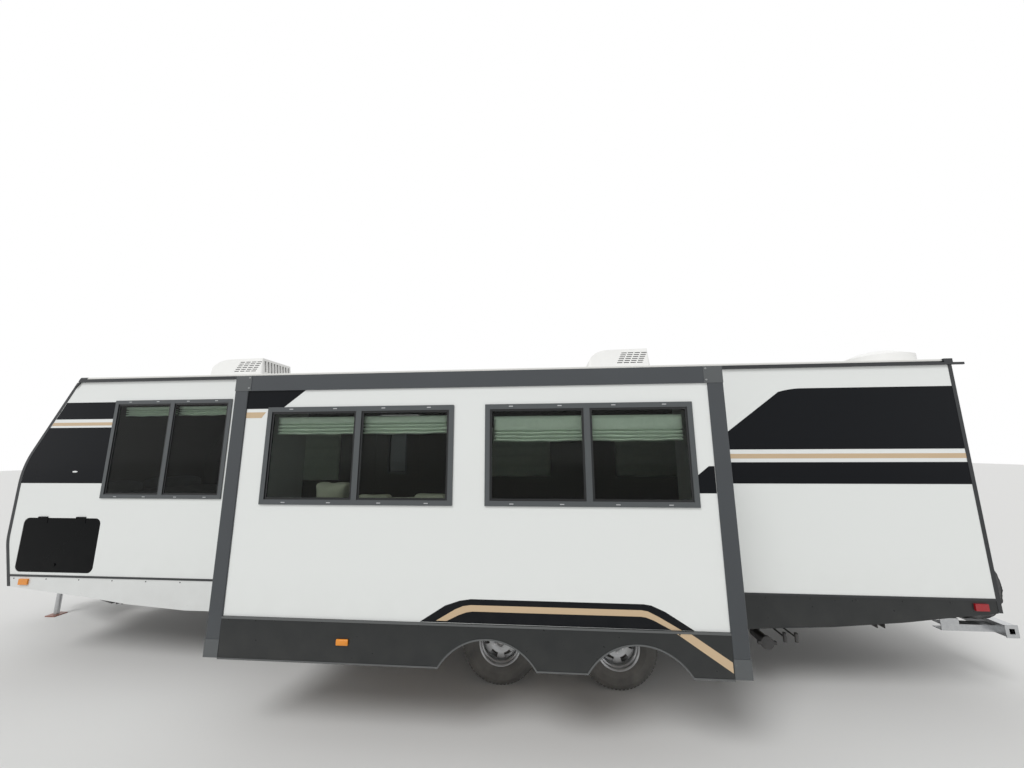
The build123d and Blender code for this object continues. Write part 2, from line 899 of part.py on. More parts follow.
# The fascia: a beam and two strips over the wall's edges, with a deeper flange outside the room
strips = ((slide_x0, slide_x0 + strip_width), (slide_x1 - strip_width, slide_x1))
with BuildPart() as slide_fascia:
    for x0, x1 in strips:
        block((x0, -slide_face, strip_low), (x1, -slide_skin, slide_top))
    block((slide_x0, -slide_face, slide_top - beam_height), (slide_x1, -slide_skin, slide_top))
    for x0, x1 in ((slide_x0, room_x0), (room_x1, slide_x1)):
        block((x0, -slide_skin, strip_low), (x1, -slide_face + fascia_t, slide_top))
    block((room_x0, -slide_skin, room_top), (room_x1, -slide_face + fascia_t, slide_top))
    chamfer(slide_fascia.edges().filter_by(Axis.Z).group_by(Axis.Y)[0], length=fascia_edge)
    plate_face = slide_face + plate_t
    for x0, x1 in ((slide_x0, slide_x0 + corner_plate), (slide_x1 - corner_plate, slide_x1)):
        block((x0, -plate_face, slide_top - beam_height), (x1, -slide_face, slide_top))
    for x0, x1 in strips:
        block((x0, -plate_face, strip_low), (x1, -slide_face, strip_cap_top))
save(slide_fascia, "slide_fascia")

# The skirt under the room: its panel, the ledge on top, and the lips along the hem and the arches
skirt_x0, skirt_x1 = slide_x0 + strip_width, slide_x1 - strip_width
with BuildPart() as slide_skirt:
    block((skirt_x0, -slide_face, slide_skirt_low), (skirt_x1, -skirt_back, slide_bottom))
    for z0, height in ((slide_skirt_low, lip_width), (slide_bottom - ledge_height, ledge_height)):
        block((skirt_x0, -left_reach, z0), (skirt_x1, -slide_face, z0 + height))
    arch_lips(-1, slide_face)
    for x in axle_x:
        with Locations((x, -slide_face, tyre_r)):
            Cylinder(arch_top_z - tyre_r, 4 * slide_skirt_t, rotation=(90, 0, 0), mode=Mode.SUBTRACT)
save(slide_skirt, "slide_skirt")

with BuildPart() as slide_frames:
    for row in slide_windows:
        window_frame(-1, slide_skin, row)
save(slide_frames, "slide_frames")

with BuildPart() as slide_glass:
    for row in slide_windows:
        window_pane(-1, slide_skin, row)
save(slide_glass, "slide_glass")

with BuildPart() as slide_arms:
    for x in arm_x:
        block((x - slide_arm / 2, -skirt_back, slide_arm_z - slide_arm / 2),
              (x + slide_arm / 2, -slide_arm_in, slide_arm_z + slide_arm / 2))
        block((x - slide_arm, -skirt_back, slide_arm_z - slide_arm / 2),
              (x + slide_arm, -slide_lining, slide_bottom))
save(slide_arms, "slide_arms")

with BuildPart() as slide_guides:
    for x in arm_x:
        outer = slide_arm / 2 + running_gap + guide_t
        inner = slide_arm / 2 + running_gap
        block((x - outer, -deck_half + wall, slide_arm_z - outer), (x + outer, guide_in, slide_arm_z + outer))
        block((x - inner, -half, slide_arm_z - inner), (x + inner, half, slide_arm_z + inner),
              mode=Mode.SUBTRACT)
save(slide_guides, "slide_guides")

# Doors and lids, each with its hinge barrels

barrel_r = hinge_out - running_gap


def door_hinge(z):
    """A hinge on the door's front edge: its barrel on the wall and its leaf on the door."""
    low, high = z - hinge_length / 2, z + hinge_length / 2
    with Locations((door_x0 - hinge_set, half + hinge_out, z)):
        Cylinder(barrel_r, hinge_length)
    side_block(1, door_x0 - hinge_set, door_x0 + wall, half + running_gap, half + moulding_t, low, high)
    side_block(1, door_x0, door_x0 + wall, half, half + moulding_t, low, high)


def lid_hinge(side, x):
    """A hinge on a lid's top edge: its barrel on the wall and its leaf on the lid."""
    left, right = x - hinge_length / 2, x + hinge_length / 2
    top = lid_z0 + lid_height
    with Locations((x, side * (half + hinge_out), top + hinge_set)):
        Cylinder(barrel_r, hinge_length, rotation=(0, 90, 0))
    side_block(side, left, right, half + running_gap, half + moulding_t, top - wall, top + hinge_set)
    side_block(side, left, right, half, half + moulding_t, top - wall, top)


with BuildPart() as entry_door:
    rounded_panel(1, half, door_x0, door_z0, door_width, door_height, door_radius, door_t)
    window_hole(1, half, door_window, door_t)
    for share in (0.12, 0.5, 0.88):
        door_hinge(door_z0 + share * door_height)
    plate_width, plate_height = latch_plate
    rounded_panel(1, half, door_x0 + door_width - 1.5 * plate_width, latch_z, plate_width, plate_height,
                  door_radius / 4, -latch_proud)
save(entry_door, "entry_door")

with BuildPart() as door_frame:
    window_frame(1, half, door_window)
save(door_frame, "door_frame")

with BuildPart() as door_glass:
    window_pane(1, half, door_window)
save(door_glass, "door_glass")

for side, name in ((-1, "baggage_lid_left"), (1, "baggage_lid_right")):
    with BuildPart() as lid:
        rounded_panel(side, half, lid_x0, lid_z0, lid_width, lid_height, lid_radius, lid_t)
        for share in (0.25, 0.75):
            lid_hinge(side, lid_x0 + share * lid_width)
        with Locations((lid_x0 + lid_width / 2, side * half, lid_z0 + lock_up)):
            Cylinder(lock_r, 2 * lock_proud, rotation=(90, 0, 0))
    save(lid, name)

# Roof fittings

# Each cooler's shroud is a drafted box cut to its side outline: a rounded nose, a nearly flat top
# and a louvred rear face, with slots in rows along both sides that step back with the nose
shroud_top = roof_crown + ac_height
slot_z = roof_edge + slot_up
lean = math.tan(math.radians(ac_draft))


with BuildPart() as shroud:
    with BuildSketch(Plane.XY.offset(roof_edge)):
        with Locations((ac_length / 2, 0)):
            RectangleRounded(ac_length, ac_width, ac_round)
    extrude(amount=shroud_top - roof_edge, taper=ac_draft)
    with BuildSketch(Plane.XZ.offset(-ac_width)):
        with BuildLine():
            Line((0, roof_edge), (0, roof_edge + ac_nose_up))
            Spline((0, roof_edge + ac_nose_up), (ac_nose, shroud_top - ac_fall),
                   tangents=[(0, 1), (1, 0)])
            Polyline((ac_nose, shroud_top - ac_fall), (ac_length, shroud_top), (ac_length, roof_edge),
                     (0, roof_edge))
        make_face()
    extrude(amount=2 * ac_width, mode=Mode.INTERSECT)
    for row in range(slot_rows):
        z = slot_z + row * slot_pitch
        inner = ac_width / 2 - (z - roof_edge) * lean - slot_depth
        for column in range(slot_columns):
            left = slot_x + row * slot_step + column * (slot_length + slot_gap)
            for side in (-1, 1):
                side_block(side, left, left + slot_length, inner, ac_width, z, z + slot_height,
                           mode=Mode.SUBTRACT)
    back = ac_length - (shroud_top - roof_edge) * lean - louvre_depth
    for index in range(louvre_count):
        middle = (index + 0.5 - louvre_count / 2) * louvre_pitch
        block((back, middle - louvre_width / 2, slot_z), (ac_length, middle + louvre_width / 2,
              shroud_top - louvre_width), mode=Mode.SUBTRACT)

with BuildPart() as air_conditioners:
    with Locations(*[(x, 0, 0) for x in ac_x]):
        add(shroud.part)
    add(roof.part, mode=Mode.SUBTRACT)
save(air_conditioners, "air_conditioners")

# A drafted vent lid over its curb near the front, and a low round dome near the rear
with BuildPart() as roof_vents:
    with Locations((vent_x, 0, roof_edge)):
        Box(vent_size, vent_size, roof_crown - roof_edge + vent_curb,
            align=(Align.CENTER, Align.CENTER, Align.MIN))
    with BuildSketch(Plane.XY.offset(roof_crown + vent_curb)):
        with Locations((vent_x, 0)):
            RectangleRounded(vent_size + vent_curb, vent_size + vent_curb, vent_curb)
    extrude(amount=vent_height - vent_curb, taper=vent_draft)
    with BuildSketch(Plane.XZ.offset(-dome_y)):
        with BuildLine():
            Polyline((dome_x, dome_z), (dome_x, roof_edge), (dome_x + dome_r, roof_edge),
                     (dome_x + dome_r, dome_rim_z))
            TangentArc((dome_x, dome_z), (dome_x + dome_r, dome_rim_z), tangent=(1, 0))
        make_face()
    revolve(axis=Axis((dome_x, dome_y, 0), (0, 0, 1)))
    add(roof.part, mode=Mode.SUBTRACT)
save(roof_vents, "roof_vents")

# The awning rolled up: its cloth on a roller between end caps, on two channel arms with feet
arm_starts = (awning_x0, awning_x0 + awning_length - awning_arm)
with BuildPart() as awning:
    awning_y = half + awning_gap + awning_r
    arm_low = lid_z0 + lid_height
    with Locations((awning_x0 + awning_length / 2, awning_y, awning_z)):
        Cylinder(awning_r - awning_cloth, awning_length, rotation=(0, 90, 0))
    for x, cap_x in zip(arm_starts, (awning_x0, awning_x0 + awning_length - awning_cap)):
        with Locations((cap_x + awning_cap / 2, awning_y, awning_z)):
            Cylinder(awning_r, awning_cap, rotation=(0, 90, 0))
        block((x, half, arm_low), (x + awning_arm, half + awning_arm, awning_z))
        block((x + awning_web, half + awning_web, arm_low + awning_foot),
              (x + awning_arm - awning_web, half + awning_arm, awning_z - 2 * awning_r),
              mode=Mode.SUBTRACT)
        block((x - awning_web, half, arm_low - awning_foot),
              (x + awning_arm + awning_web, half + awning_web, arm_low + awning_foot))
save(awning, "awning")

# Rear

with BuildPart() as rear_bumper:
    low, top = bumper_z0, bumper_z0 + bumper_size
    end_x = bumper_x + bumper_size
    hole_x, hole_z = bumper_x + bumper_size / 2, (low + top) / 2
    hole_reach = bumper_hole / 2
    block((bumper_x, -bumper_half, low), (end_x, bumper_half, top))
    block((bumper_x + bumper_wall, -half, low + bumper_wall), (end_x - bumper_wall, half, top - bumper_wall),
          mode=Mode.SUBTRACT)
    for side in (-1, 1):
        side_block(side, bumper_x - bumper_rim, end_x + bumper_rim, bumper_half, bumper_half + bumper_wall,
                   low - bumper_rim, top + bumper_rim)
        side_block(side, hole_x - hole_reach, hole_x + hole_reach, bumper_half - bumper_wall, half,
                   hole_z - hole_reach, hole_z + hole_reach, mode=Mode.SUBTRACT)
        # Channel arms under the chassis rails, open towards the middle
        inner, outer = rail_y - rail_flange / 2, rail_y + rail_flange / 2
        side_block(side, body_length - bumper_arm_lap, bumper_x, inner, outer, low, low + bumper_arm)
        side_block(side, body_length - bumper_arm_lap, bumper_x - bumper_wall, inner, outer - bumper_wall,
                   low + bumper_wall, low + bumper_arm - bumper_wall, mode=Mode.SUBTRACT)
        side_block(side, body_length - bumper_arm_lap, body_length - moulding, outer - bumper_wall, outer,
                   low, rail_bottom)
        side_block(side, body_length - bumper_arm_lap, body_length - moulding, inner, outer,
                   rail_bottom - bumper_wall, rail_bottom)
save(rear_bumper, "rear_bumper")

# The spare wheel stands in its cover between the body and the bumper, held from the bumper
with BuildPart() as spare_cover:
    with BuildSketch(Plane.XZ.offset(-spare_y)):
        with BuildLine():
            near, far = body_length + spare_gap, body_length + spare_gap + spare_width
            rim = spare_z + spare_r
            Polyline(
                (near, spare_z),
                (near, rim - spare_edge),
                (near + spare_edge, rim),
                (far - spare_edge, rim),
                (far, rim - spare_edge),
                (far, spare_z),
                close=True,
            )
        make_face()
    revolve(axis=Axis((0, spare_y, spare_z), (1, 0, 0)))
save(spare_cover, "spare_cover")

with BuildPart() as spare_carrier:
    post_x = bumper_x + carrier_size / 2
    foot_z = bumper_z0 + bumper_size
    block((post_x - carrier_size / 2, spare_y - carrier_size / 2, foot_z),
          (post_x + carrier_size / 2, spare_y + carrier_size / 2, spare_z + carrier_size))
    block((bumper_x, spare_y - carrier_size, foot_z),
          (bumper_x + bumper_size, spare_y + carrier_size, foot_z + bumper_wall))
    with Locations((far + running_gap, spare_y, spare_z)):
        Cylinder(carrier_r, post_x - far - running_gap, rotation=(0, 90, 0),
                 align=(Align.CENTER, Align.CENTER, Align.MIN))
save(spare_carrier, "spare_carrier")

# Tail lamps, markers high on the rear and on both skirts near the rear
marker_length, marker_height, marker_t = marker
with BuildPart() as tail_lamps:
    lamp_low, lamp_high = lamp_z
    for side in (-1, 1):
        outer = half - lamp_inset
        with BuildSketch(Plane.YZ.offset(body_length)):
            with Locations((side * (outer - lamp_width / 2), (lamp_low + lamp_high) / 2)):
                RectangleRounded(lamp_width, lamp_high - lamp_low, lamp_t)
        extrude(amount=lamp_t, taper=ac_draft)
        for x in marker_x:
            side_block(side, x - side_marker[0] / 2, x + side_marker[0] / 2, half, half + marker_t,
                       side_marker_z - side_marker[1] / 2, side_marker_z + side_marker[1] / 2)
    for y in (marker_pitch - half, -marker_pitch, 0, marker_pitch, half - marker_pitch):
        block((body_length, y - marker_length / 2, marker_z - marker_height / 2),
              (body_length + marker_t, y + marker_length / 2, marker_z + marker_height / 2))
save(tail_lamps, "tail_lamps")

# Stabiliser legs, folded inward under the rails

leg_places = [(x, side) for x in leg_x for side in (-1, 1)]
cheek_in = leg_size / 2 + cheek_gap
with BuildPart() as leg_brackets:
    for x, side in leg_places:
        for edge in (-1, 1):
            cheek_x = x + edge * (cheek_in + cheek_t / 2)
            block((cheek_x - cheek_t / 2, side * leg_y - leg_size, leg_z - leg_size / 2),
                  (cheek_x + cheek_t / 2, side * leg_y + leg_size, rail_bottom))
        side_block(side, x - cheek_in, x + cheek_in, rail_y, leg_y + leg_size,
                   rail_bottom - cheek_t, rail_bottom)
        with Locations((x, side * leg_y, leg_z)):
            Cylinder(leg_pin_r + running_gap, 4 * leg_size, rotation=(0, 90, 0), mode=Mode.SUBTRACT)
save(leg_brackets, "leg_brackets")

for (x, side), place in zip(leg_places, ("front_left", "front_right", "rear_left", "rear_right")):
    with BuildPart() as leg:
        side_block(side, x - leg_size / 2, x + leg_size / 2, leg_y - leg_length, leg_y,
                   leg_z - leg_size / 4, leg_z + leg_size / 4)
        side_block(side, x - foot_width / 2, x + foot_width / 2, leg_y - leg_length - foot_t,
                   leg_y - leg_length, leg_z - foot_low, leg_z + foot_high)
        with Locations((x, side * leg_y, leg_z)):
            Cylinder(leg_size / 4, leg_size, rotation=(0, 90, 0))
            Cylinder(leg_pin_r, 2 * (cheek_in + cheek_t), rotation=(0, 90, 0))
    save(leg, f"leg_{place}")

# The drain: a pipe down from the floor, its elbow out to a twist cap with two lugs, and the
# two valves' pull rods, each with a grip across its end, between the rear tyre and the rear leg
drain_start = axle_x[-1] + tyre_r
drain_x = drain_start + drain_share * (leg_x[-1] - drain_start)
valve_x = drain_start + valve_share * (leg_x[-1] - drain_start)
with BuildPart() as drain_outlet:
    cap_y = deck_half - drain_in
    pipe_y = rail_y + rail_flange / 2 + drain_r + wall / 2
    with Locations((drain_x, -pipe_y, drain_z)):
        Cylinder(drain_r, rail_bottom - drain_z, align=(Align.CENTER, Align.CENTER, Align.MIN))
        Sphere(drain_r)
    with Locations((drain_x, -pipe_y, drain_z)):
        Cylinder(drain_r, cap_y - pipe_y, rotation=(90, 0, 0),
                 align=(Align.CENTER, Align.CENTER, Align.MIN))
    with Locations((drain_x, -cap_y, drain_z)):
        Cylinder(drain_cap_r, drain_cap_t, rotation=(90, 0, 0))
    side_block(-1, drain_x - drain_cap_r - drain_cap_t, drain_x + drain_cap_r + drain_cap_t,
               cap_y - drain_cap_t / 2, cap_y + drain_cap_t / 2,
               drain_z - drain_cap_t / 2, drain_z + drain_cap_t / 2)
    side_block(-1, drain_x - drain_r, drain_x + drain_r, rail_y - rail_flange / 2, pipe_y,
               rail_bottom - 2 * belly_t, rail_bottom)
    for x in (valve_x, valve_x + drain_cap_t * 4):
        side_block(-1, x - drain_cap_t / 2, x + drain_cap_t / 2, rail_y - rail_flange / 2,
                   rail_y + rail_flange / 2, valve_z - drain_cap_t / 2, rail_bottom)
        with Locations((x, -rail_y, valve_z)):
            Cylinder(valve_r, cap_y - rail_y, rotation=(90, 0, 0),
                     align=(Align.CENTER, Align.CENTER, Align.MIN))
        with Locations((x, -cap_y, valve_z)):
            Cylinder(2 * valve_r, valve_grip)
save(drain_outlet, "drain_outlet")

# The entry steps folded up: side plates on hangers, with one tread lying over the other
with BuildPart() as entry_steps:
    step_x = door_x0 + door_width / 2
    left, right = step_x - step_width / 2, step_x + step_width / 2
    outer, inner = half - step_inset, half - step_inset - step_depth
    top, low = rail_bottom, rail_bottom - step_height
    for x in (left, right - step_t):
        side_block(1, x, x + step_t, inner, outer, low, top)
    for y, z in ((inner, top), (outer - step_tread, top), (outer - step_tread, top - step_height / 2)):
        side_block(1, left, right, y, y + step_tread, z - step_t, z)
        side_block(1, left, right, y + step_tread - step_t, y + step_tread, z - step_height / 3, z)
save(entry_steps, "entry_steps")
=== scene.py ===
import math

import bmesh
import bpy
from mathutils import Matrix, Vector, noise
from mathutils.bvhtree import BVHTree


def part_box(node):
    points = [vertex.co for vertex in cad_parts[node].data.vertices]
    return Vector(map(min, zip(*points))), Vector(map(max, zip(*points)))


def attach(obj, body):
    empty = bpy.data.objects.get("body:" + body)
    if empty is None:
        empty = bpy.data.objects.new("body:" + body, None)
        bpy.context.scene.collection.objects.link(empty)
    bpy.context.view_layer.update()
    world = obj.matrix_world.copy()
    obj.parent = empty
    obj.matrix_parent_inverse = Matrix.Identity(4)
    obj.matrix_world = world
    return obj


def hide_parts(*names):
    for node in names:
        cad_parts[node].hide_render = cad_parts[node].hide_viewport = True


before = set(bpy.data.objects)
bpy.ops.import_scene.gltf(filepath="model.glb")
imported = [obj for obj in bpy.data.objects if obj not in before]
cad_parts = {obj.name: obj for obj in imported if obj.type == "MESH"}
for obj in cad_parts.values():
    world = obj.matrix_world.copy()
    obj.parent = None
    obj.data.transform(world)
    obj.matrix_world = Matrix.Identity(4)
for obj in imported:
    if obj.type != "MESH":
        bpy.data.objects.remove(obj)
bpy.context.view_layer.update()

# The camera stands four metres from the road-side wall, as the photograph's does, and looks
# slightly up and towards the nose through a wide lens. Places along the caravan that were
# measured in the photograph are distances from this camera.
photo_width, sensor_width, focal_pixels = 1024, 36, 373.63
heading, pitch, roll = 4.66, 9.74, -0.27
camera_to_tail, camera_distance, camera_height = 4.0805, 4.0, 2.296
road_wall, tail_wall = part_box("wall_left")[0][1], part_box("wall_left")[1][0]
door_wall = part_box("wall_right")[1][1]
camera_x = tail_wall - camera_to_tail
centre_y = (road_wall + door_wall) / 2


def new_object(name, data):
    """An object in the scene that shows this data."""
    made = bpy.data.objects.new(name, data)
    bpy.context.scene.collection.objects.link(made)
    return made


camera_data = bpy.data.cameras.new("camera")
camera_data.sensor_width = sensor_width
camera_data.lens = sensor_width * focal_pixels / photo_width
camera_data.clip_end = 200
camera = new_object("camera", camera_data)
camera.matrix_world = (
    Matrix.Translation((camera_x, road_wall - camera_distance, camera_height))
    @ Matrix.Rotation(math.radians(heading), 4, "Z")
    @ Matrix.Rotation(math.radians(90 + pitch), 4, "X")
    @ Matrix.Rotation(math.radians(roll), 4, "Z")
)
bpy.context.scene.camera = camera
bpy.context.scene.view_settings.view_transform = "Standard"

# Walls: laminated panels with a glossy white gel coat outside and a printed board inside, whose
# near-black colour is partly the board's own and partly painted shade for the dim rooms behind
# the windows. They are pressed flat in one sheet, so reflections ripple only slowly along them,
# and road dust settles on the lowest part.


def new_material(name, color, roughness, metallic=0.0, coat=0.0, mirror=0.5):
    """A named material, its tree and its Principled shader; mirror is its specular level."""
    material = bpy.data.materials.new(name)
    material.use_nodes = True
    tree = material.node_tree
    shader = tree.nodes["Principled BSDF"]
    shader.inputs["Base Color"].default_value = (*color, 1)
    shader.inputs["Roughness"].default_value = roughness
    shader.inputs["Metallic"].default_value = metallic
    shader.inputs["Specular IOR Level"].default_value = mirror
    shader.inputs["Coat Weight"].default_value = coat
    shader.inputs["Coat Roughness"].default_value = 0.06
    return material, tree, shader


def add_node(tree, kind, inputs=(), **settings):
    """A shader node with its settings; each input gets a value or a link."""
    made = tree.nodes.new(kind)
    for key, value in settings.items():
        setattr(made, key, value)
    for key, value in dict(inputs).items():
        if isinstance(value, bpy.types.NodeSocket):
            tree.links.new(value, made.inputs[key])
        else:
            made.inputs[key].default_value = value
    return made


def calc(tree, operation, a, b=0.0, c=0.0):
    """One sum on numbers or sockets."""
    return add_node(tree, "ShaderNodeMath", {0: a, 1: b, 2: c}, operation=operation).outputs[0]


def between(tree, value, low, high):
    """1 where a value lies between two limits."""
    above = calc(tree, "GREATER_THAN", value, low)
    return calc(tree, "MULTIPLY", above, calc(tree, "LESS_THAN", value, high))


def scaled(tree, value, low, high):
    """A 0 to 1 value stretched from low to high."""
    return add_node(tree, "ShaderNodeMapRange", {"Value": value, 3: low, 4: high}).outputs[0]


def mix_color(tree, mask, a, b):
    """Colour a where the mask is 0 and colour b where it is 1."""
    return add_node(tree, "ShaderNodeMix", {0: mask, 6: a, 7: b}, data_type="RGBA").outputs[2]


def places(tree, scale=(1, 1, 1), centre=(0, 0, 0)):
    """Object coordinates measured from a centre and scaled, and their parts x, y and z."""
    coordinates = add_node(tree, "ShaderNodeTexCoord")
    shift = [-c * s for c, s in zip(centre, scale)]
    mapped = add_node(tree, "ShaderNodeMapping",
                      {"Vector": coordinates.outputs["Object"], "Location": shift, "Scale": scale})
    parts = add_node(tree, "ShaderNodeSeparateXYZ", {0: mapped.outputs[0]})
    return mapped.outputs[0], parts.outputs


def new_group(name, sockets_in, sockets_out):
    """An empty node group with its sockets, and its input and output nodes."""
    group = bpy.data.node_groups.new(name, "ShaderNodeTree")
    for title, kind in sockets_in:
        group.interface.new_socket(title, in_out="INPUT", socket_type="NodeSocket" + kind)
    for title in sockets_out:
        group.interface.new_socket(title, in_out="OUTPUT", socket_type="NodeSocketFloat")
    return group, group.nodes.new("NodeGroupInput"), group.nodes.new("NodeGroupOutput")


grain_group, grain_in, grain_out = new_group(
    "surface_grain", (("Vector", "Vector"), ("Scale", "Float")), ("Height", "Tone"))
fine = add_node(grain_group, "ShaderNodeTexNoise",
                {"Vector": grain_in.outputs[0], "Scale": grain_in.outputs[1], "Detail": 3})
broad_scale = calc(grain_group, "MULTIPLY", grain_in.outputs[1], 0.06)
broad = add_node(grain_group, "ShaderNodeTexNoise",
                 {"Vector": grain_in.outputs[0], "Scale": broad_scale, "Detail": 4})
grain_group.links.new(fine.outputs[0], grain_out.inputs[0])
grain_group.links.new(broad.outputs[0], grain_out.inputs[1])

dust_group, dust_in, dust_out = new_group(
    "road_dust", (("Vector", "Vector"), ("Top", "Float"), ("Amount", "Float")), ("Mask",))
dust_parts = add_node(dust_group, "ShaderNodeSeparateXYZ", {0: dust_in.outputs[0]})
dust_fade = add_node(dust_group, "ShaderNodeMapRange",
                     {"Value": dust_parts.outputs[2], 1: 0.0, 2: dust_in.outputs[1],
                      3: 1.0, 4: 0.0})
dust_noise = add_node(dust_group, "ShaderNodeTexNoise",
                      {"Vector": dust_in.outputs[0], "Scale": 6.0, "Detail": 6})
dust_patches = scaled(dust_group, dust_noise.outputs[0], -0.4, 1.6)
dust_mask = calc(dust_group, "MULTIPLY", dust_fade.outputs[0], dust_patches)
dust_mask = calc(dust_group, "MULTIPLY", dust_mask, dust_in.outputs[2])
dust_group.links.new(dust_mask, dust_out.inputs[0])
dust_color = (0.29, 0.275, 0.25, 1)


def finish(name, color, roughness, metallic=0.0, coat=0.0, mirror=0.5, grain=60, bump=0.0002,
           tone=0.08, dust=0.0, dust_top=1.1, stretch=(1, 1, 1)):
    """A material with grain in its colour, gloss and surface, and dust on its low parts."""
    material, tree, shader = new_material(name, color, roughness, metallic, coat, mirror)
    grains = add_node(tree, "ShaderNodeGroup", node_tree=grain_group)
    tree.links.new(places(tree, stretch)[0], grains.inputs["Vector"])
    grains.inputs["Scale"].default_value = grain
    light = [min(c * (1 + tone), 1) for c in color]
    deep = [c * (1 - tone) for c in color]
    paint = mix_color(tree, grains.outputs["Tone"], (*deep, 1), (*light, 1))
    dull = scaled(tree, grains.outputs["Height"], roughness * 0.8, min(roughness * 1.2, 1))
    if dust:
        dusting = add_node(tree, "ShaderNodeGroup", node_tree=dust_group)
        tree.links.new(places(tree)[0], dusting.inputs["Vector"])
        dusting.inputs["Top"].default_value = dust_top
        dusting.inputs["Amount"].default_value = dust
        paint = mix_color(tree, dusting.outputs[0], paint, dust_color)
        dull = calc(tree, "MAXIMUM", dull, calc(tree, "MULTIPLY", dusting.outputs[0], 0.9))
    relief = add_node(tree, "ShaderNodeBump", {"Height": grains.outputs["Height"],
                                               "Distance": bump, "Strength": 1.0})
    tree.links.new(paint, shader.inputs["Base Color"])
    tree.links.new(dull, shader.inputs["Roughness"])
    tree.links.new(relief.outputs[0], shader.inputs["Normal"])
    return material, tree, shader


def overlay(tree, shader, mask, value, socket="Base Color", gloss=None):
    """Another colour, or another value on a socket, where the mask is 1, and its roughness."""
    target = shader.inputs[socket]
    source = target.links[0].from_socket if target.links else target.default_value
    if socket == "Base Color":
        mixed = mix_color(tree, mask, source, (*value, 1))
    else:
        mixed = add_node(tree, "ShaderNodeMix", {0: mask, 2: source, 3: value}).outputs[0]
    tree.links.new(mixed, target)
    if gloss is not None:
        overlay(tree, shader, mask, gloss, "Roughness")


def emboss(tree, shader, height, distance):
    """One more layer of relief over the material's grain."""
    link = shader.inputs["Normal"].links[0].from_socket
    relief = add_node(tree, "ShaderNodeBump", {"Height": height, "Distance": distance,
                                               "Strength": 1.0, "Normal": link})
    tree.links.new(relief.outputs[0], shader.inputs["Normal"])


def clad(material, *nodes):
    """Gives the material to CAD nodes."""
    for name in nodes:
        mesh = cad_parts[name].data
        mesh.materials.clear()
        mesh.materials.append(material)


# The board colour is near black: partly the board's own colour, partly painted shade for the dim
# inside.
wall_white, board_and_shade_color, board_gloss = (0.765, 0.785, 0.77), (0.060, 0.052, 0.044), 0.6
skin_depth = 0.02


def gel_coat(name, coat=0.3, mirror=0.5):
    """The glossy white outer skin."""
    return finish(name, wall_white, 0.16, coat=coat, mirror=mirror, grain=2.2, bump=0.0012,
                  tone=0.012, dust=0.22, dust_top=1.3)


def laminate(name, inner_low, inner_high, axis=1):
    """The wall laminate, with printed board between two planes, along x (0) or across it (1)."""
    material, tree, shader = gel_coat(name)
    # Inside the wall the board's near-black colour is partly painted shade.
    inside = between(tree, places(tree)[1][axis], inner_low, inner_high)
    overlay(tree, shader, inside, board_and_shade_color, gloss=board_gloss)
    return material


room_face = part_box("slide_wall")[0][1]
clad(laminate("body_laminate", road_wall + skin_depth, door_wall - skin_depth),
     "wall_left", "wall_right")
clad(laminate("rear_laminate", -tail_wall, tail_wall - skin_depth, axis=0), "wall_rear")
clad(laminate("room_laminate", room_face + skin_depth, centre_y), "slide_wall")
clad(laminate("door_laminate", centre_y, door_wall - skin_depth), "entry_door")
clad(gel_coat("room_end_skin")[0], "slide_ends")

# Nose cap: one moulded shell, white like the walls, with the side stripes carried round it as
# sprayed bands. It is glued over the ends of the side walls and lined with board inside.
band_black, band_tan = (0.007, 0.008, 0.010), (0.56, 0.415, 0.26)
nose_bands = ((2.656, 2.855, band_black), (2.581, 2.617, band_tan), (1.922, 2.557, band_black))
cap_paint, tree, shader = gel_coat("cap_paint", coat=0.0, mirror=0.15)
height = places(tree)[1][2]
for low, high, color in nose_bands:
    overlay(tree, shader, between(tree, height, low, high), color)
# Inside faces take the board's near-black colour, which is partly painted shade for the dim inside.
facing = add_node(tree, "ShaderNodeSeparateXYZ",
                  {0: add_node(tree, "ShaderNodeTexCoord").outputs["Normal"]})
inside = calc(tree, "GREATER_THAN", facing.outputs[0], 0.05)
overlay(tree, shader, inside, board_and_shade_color, gloss=board_gloss)
clad(cap_paint, "front_cap")

# Side stripes: black and tan cast vinyl film with thin white gaps, cut to shape on the bench
# and rolled on to the walls, the slide-out room and its skirt. Film on film is a second layer.


def add_piece(name, bm, material, body, smooth=None):
    """A mesh piece on a CAD body, with its finish; smooth is its sharpest softened edge."""
    bmesh.ops.recalc_face_normals(bm, faces=bm.faces)
    mesh = bpy.data.meshes.new(name)
    bm.to_mesh(mesh)
    bm.free()
    mesh.materials.append(material)
    if smooth:
        mesh.shade_smooth()
        mesh.set_sharp_from_angle(angle=math.radians(smooth))
    made = new_object(name, mesh)
    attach(made, body)
    return made


def verts_of(geometry):
    """The vertices among the parts that an operator made."""
    return [part for part in geometry if isinstance(part, bmesh.types.BMVert)]


def film(bm, outline, face_y, side, layer=1, rounded=()):
    """A shape cut from film, laid on a wall face on side -1 (road) or 1 (door)."""
    start = face_y + side * film_t * (layer - 1)
    before = set(bm.faces)
    corners = [bm.verts.new((camera_x + x, start, z)) for x, z in outline]
    bm.faces.new(corners)
    for index, radius in rounded:
        bmesh.ops.bevel(bm, geom=[corners[index]], offset=radius, affect="VERTICES",
                        segments=8, profile=0.5, material=-1)
    flat = [face for face in bm.faces if face not in before]
    raised = bmesh.ops.extrude_face_region(bm, geom=flat)["geom"]
    bmesh.ops.translate(bm, vec=(0, side * film_t, 0), verts=verts_of(raised))


def band(x0, x1, z0, z1):
    """The corners of a straight band."""
    return (x0, z0), (x1, z0), (x1, z1), (x0, z1)


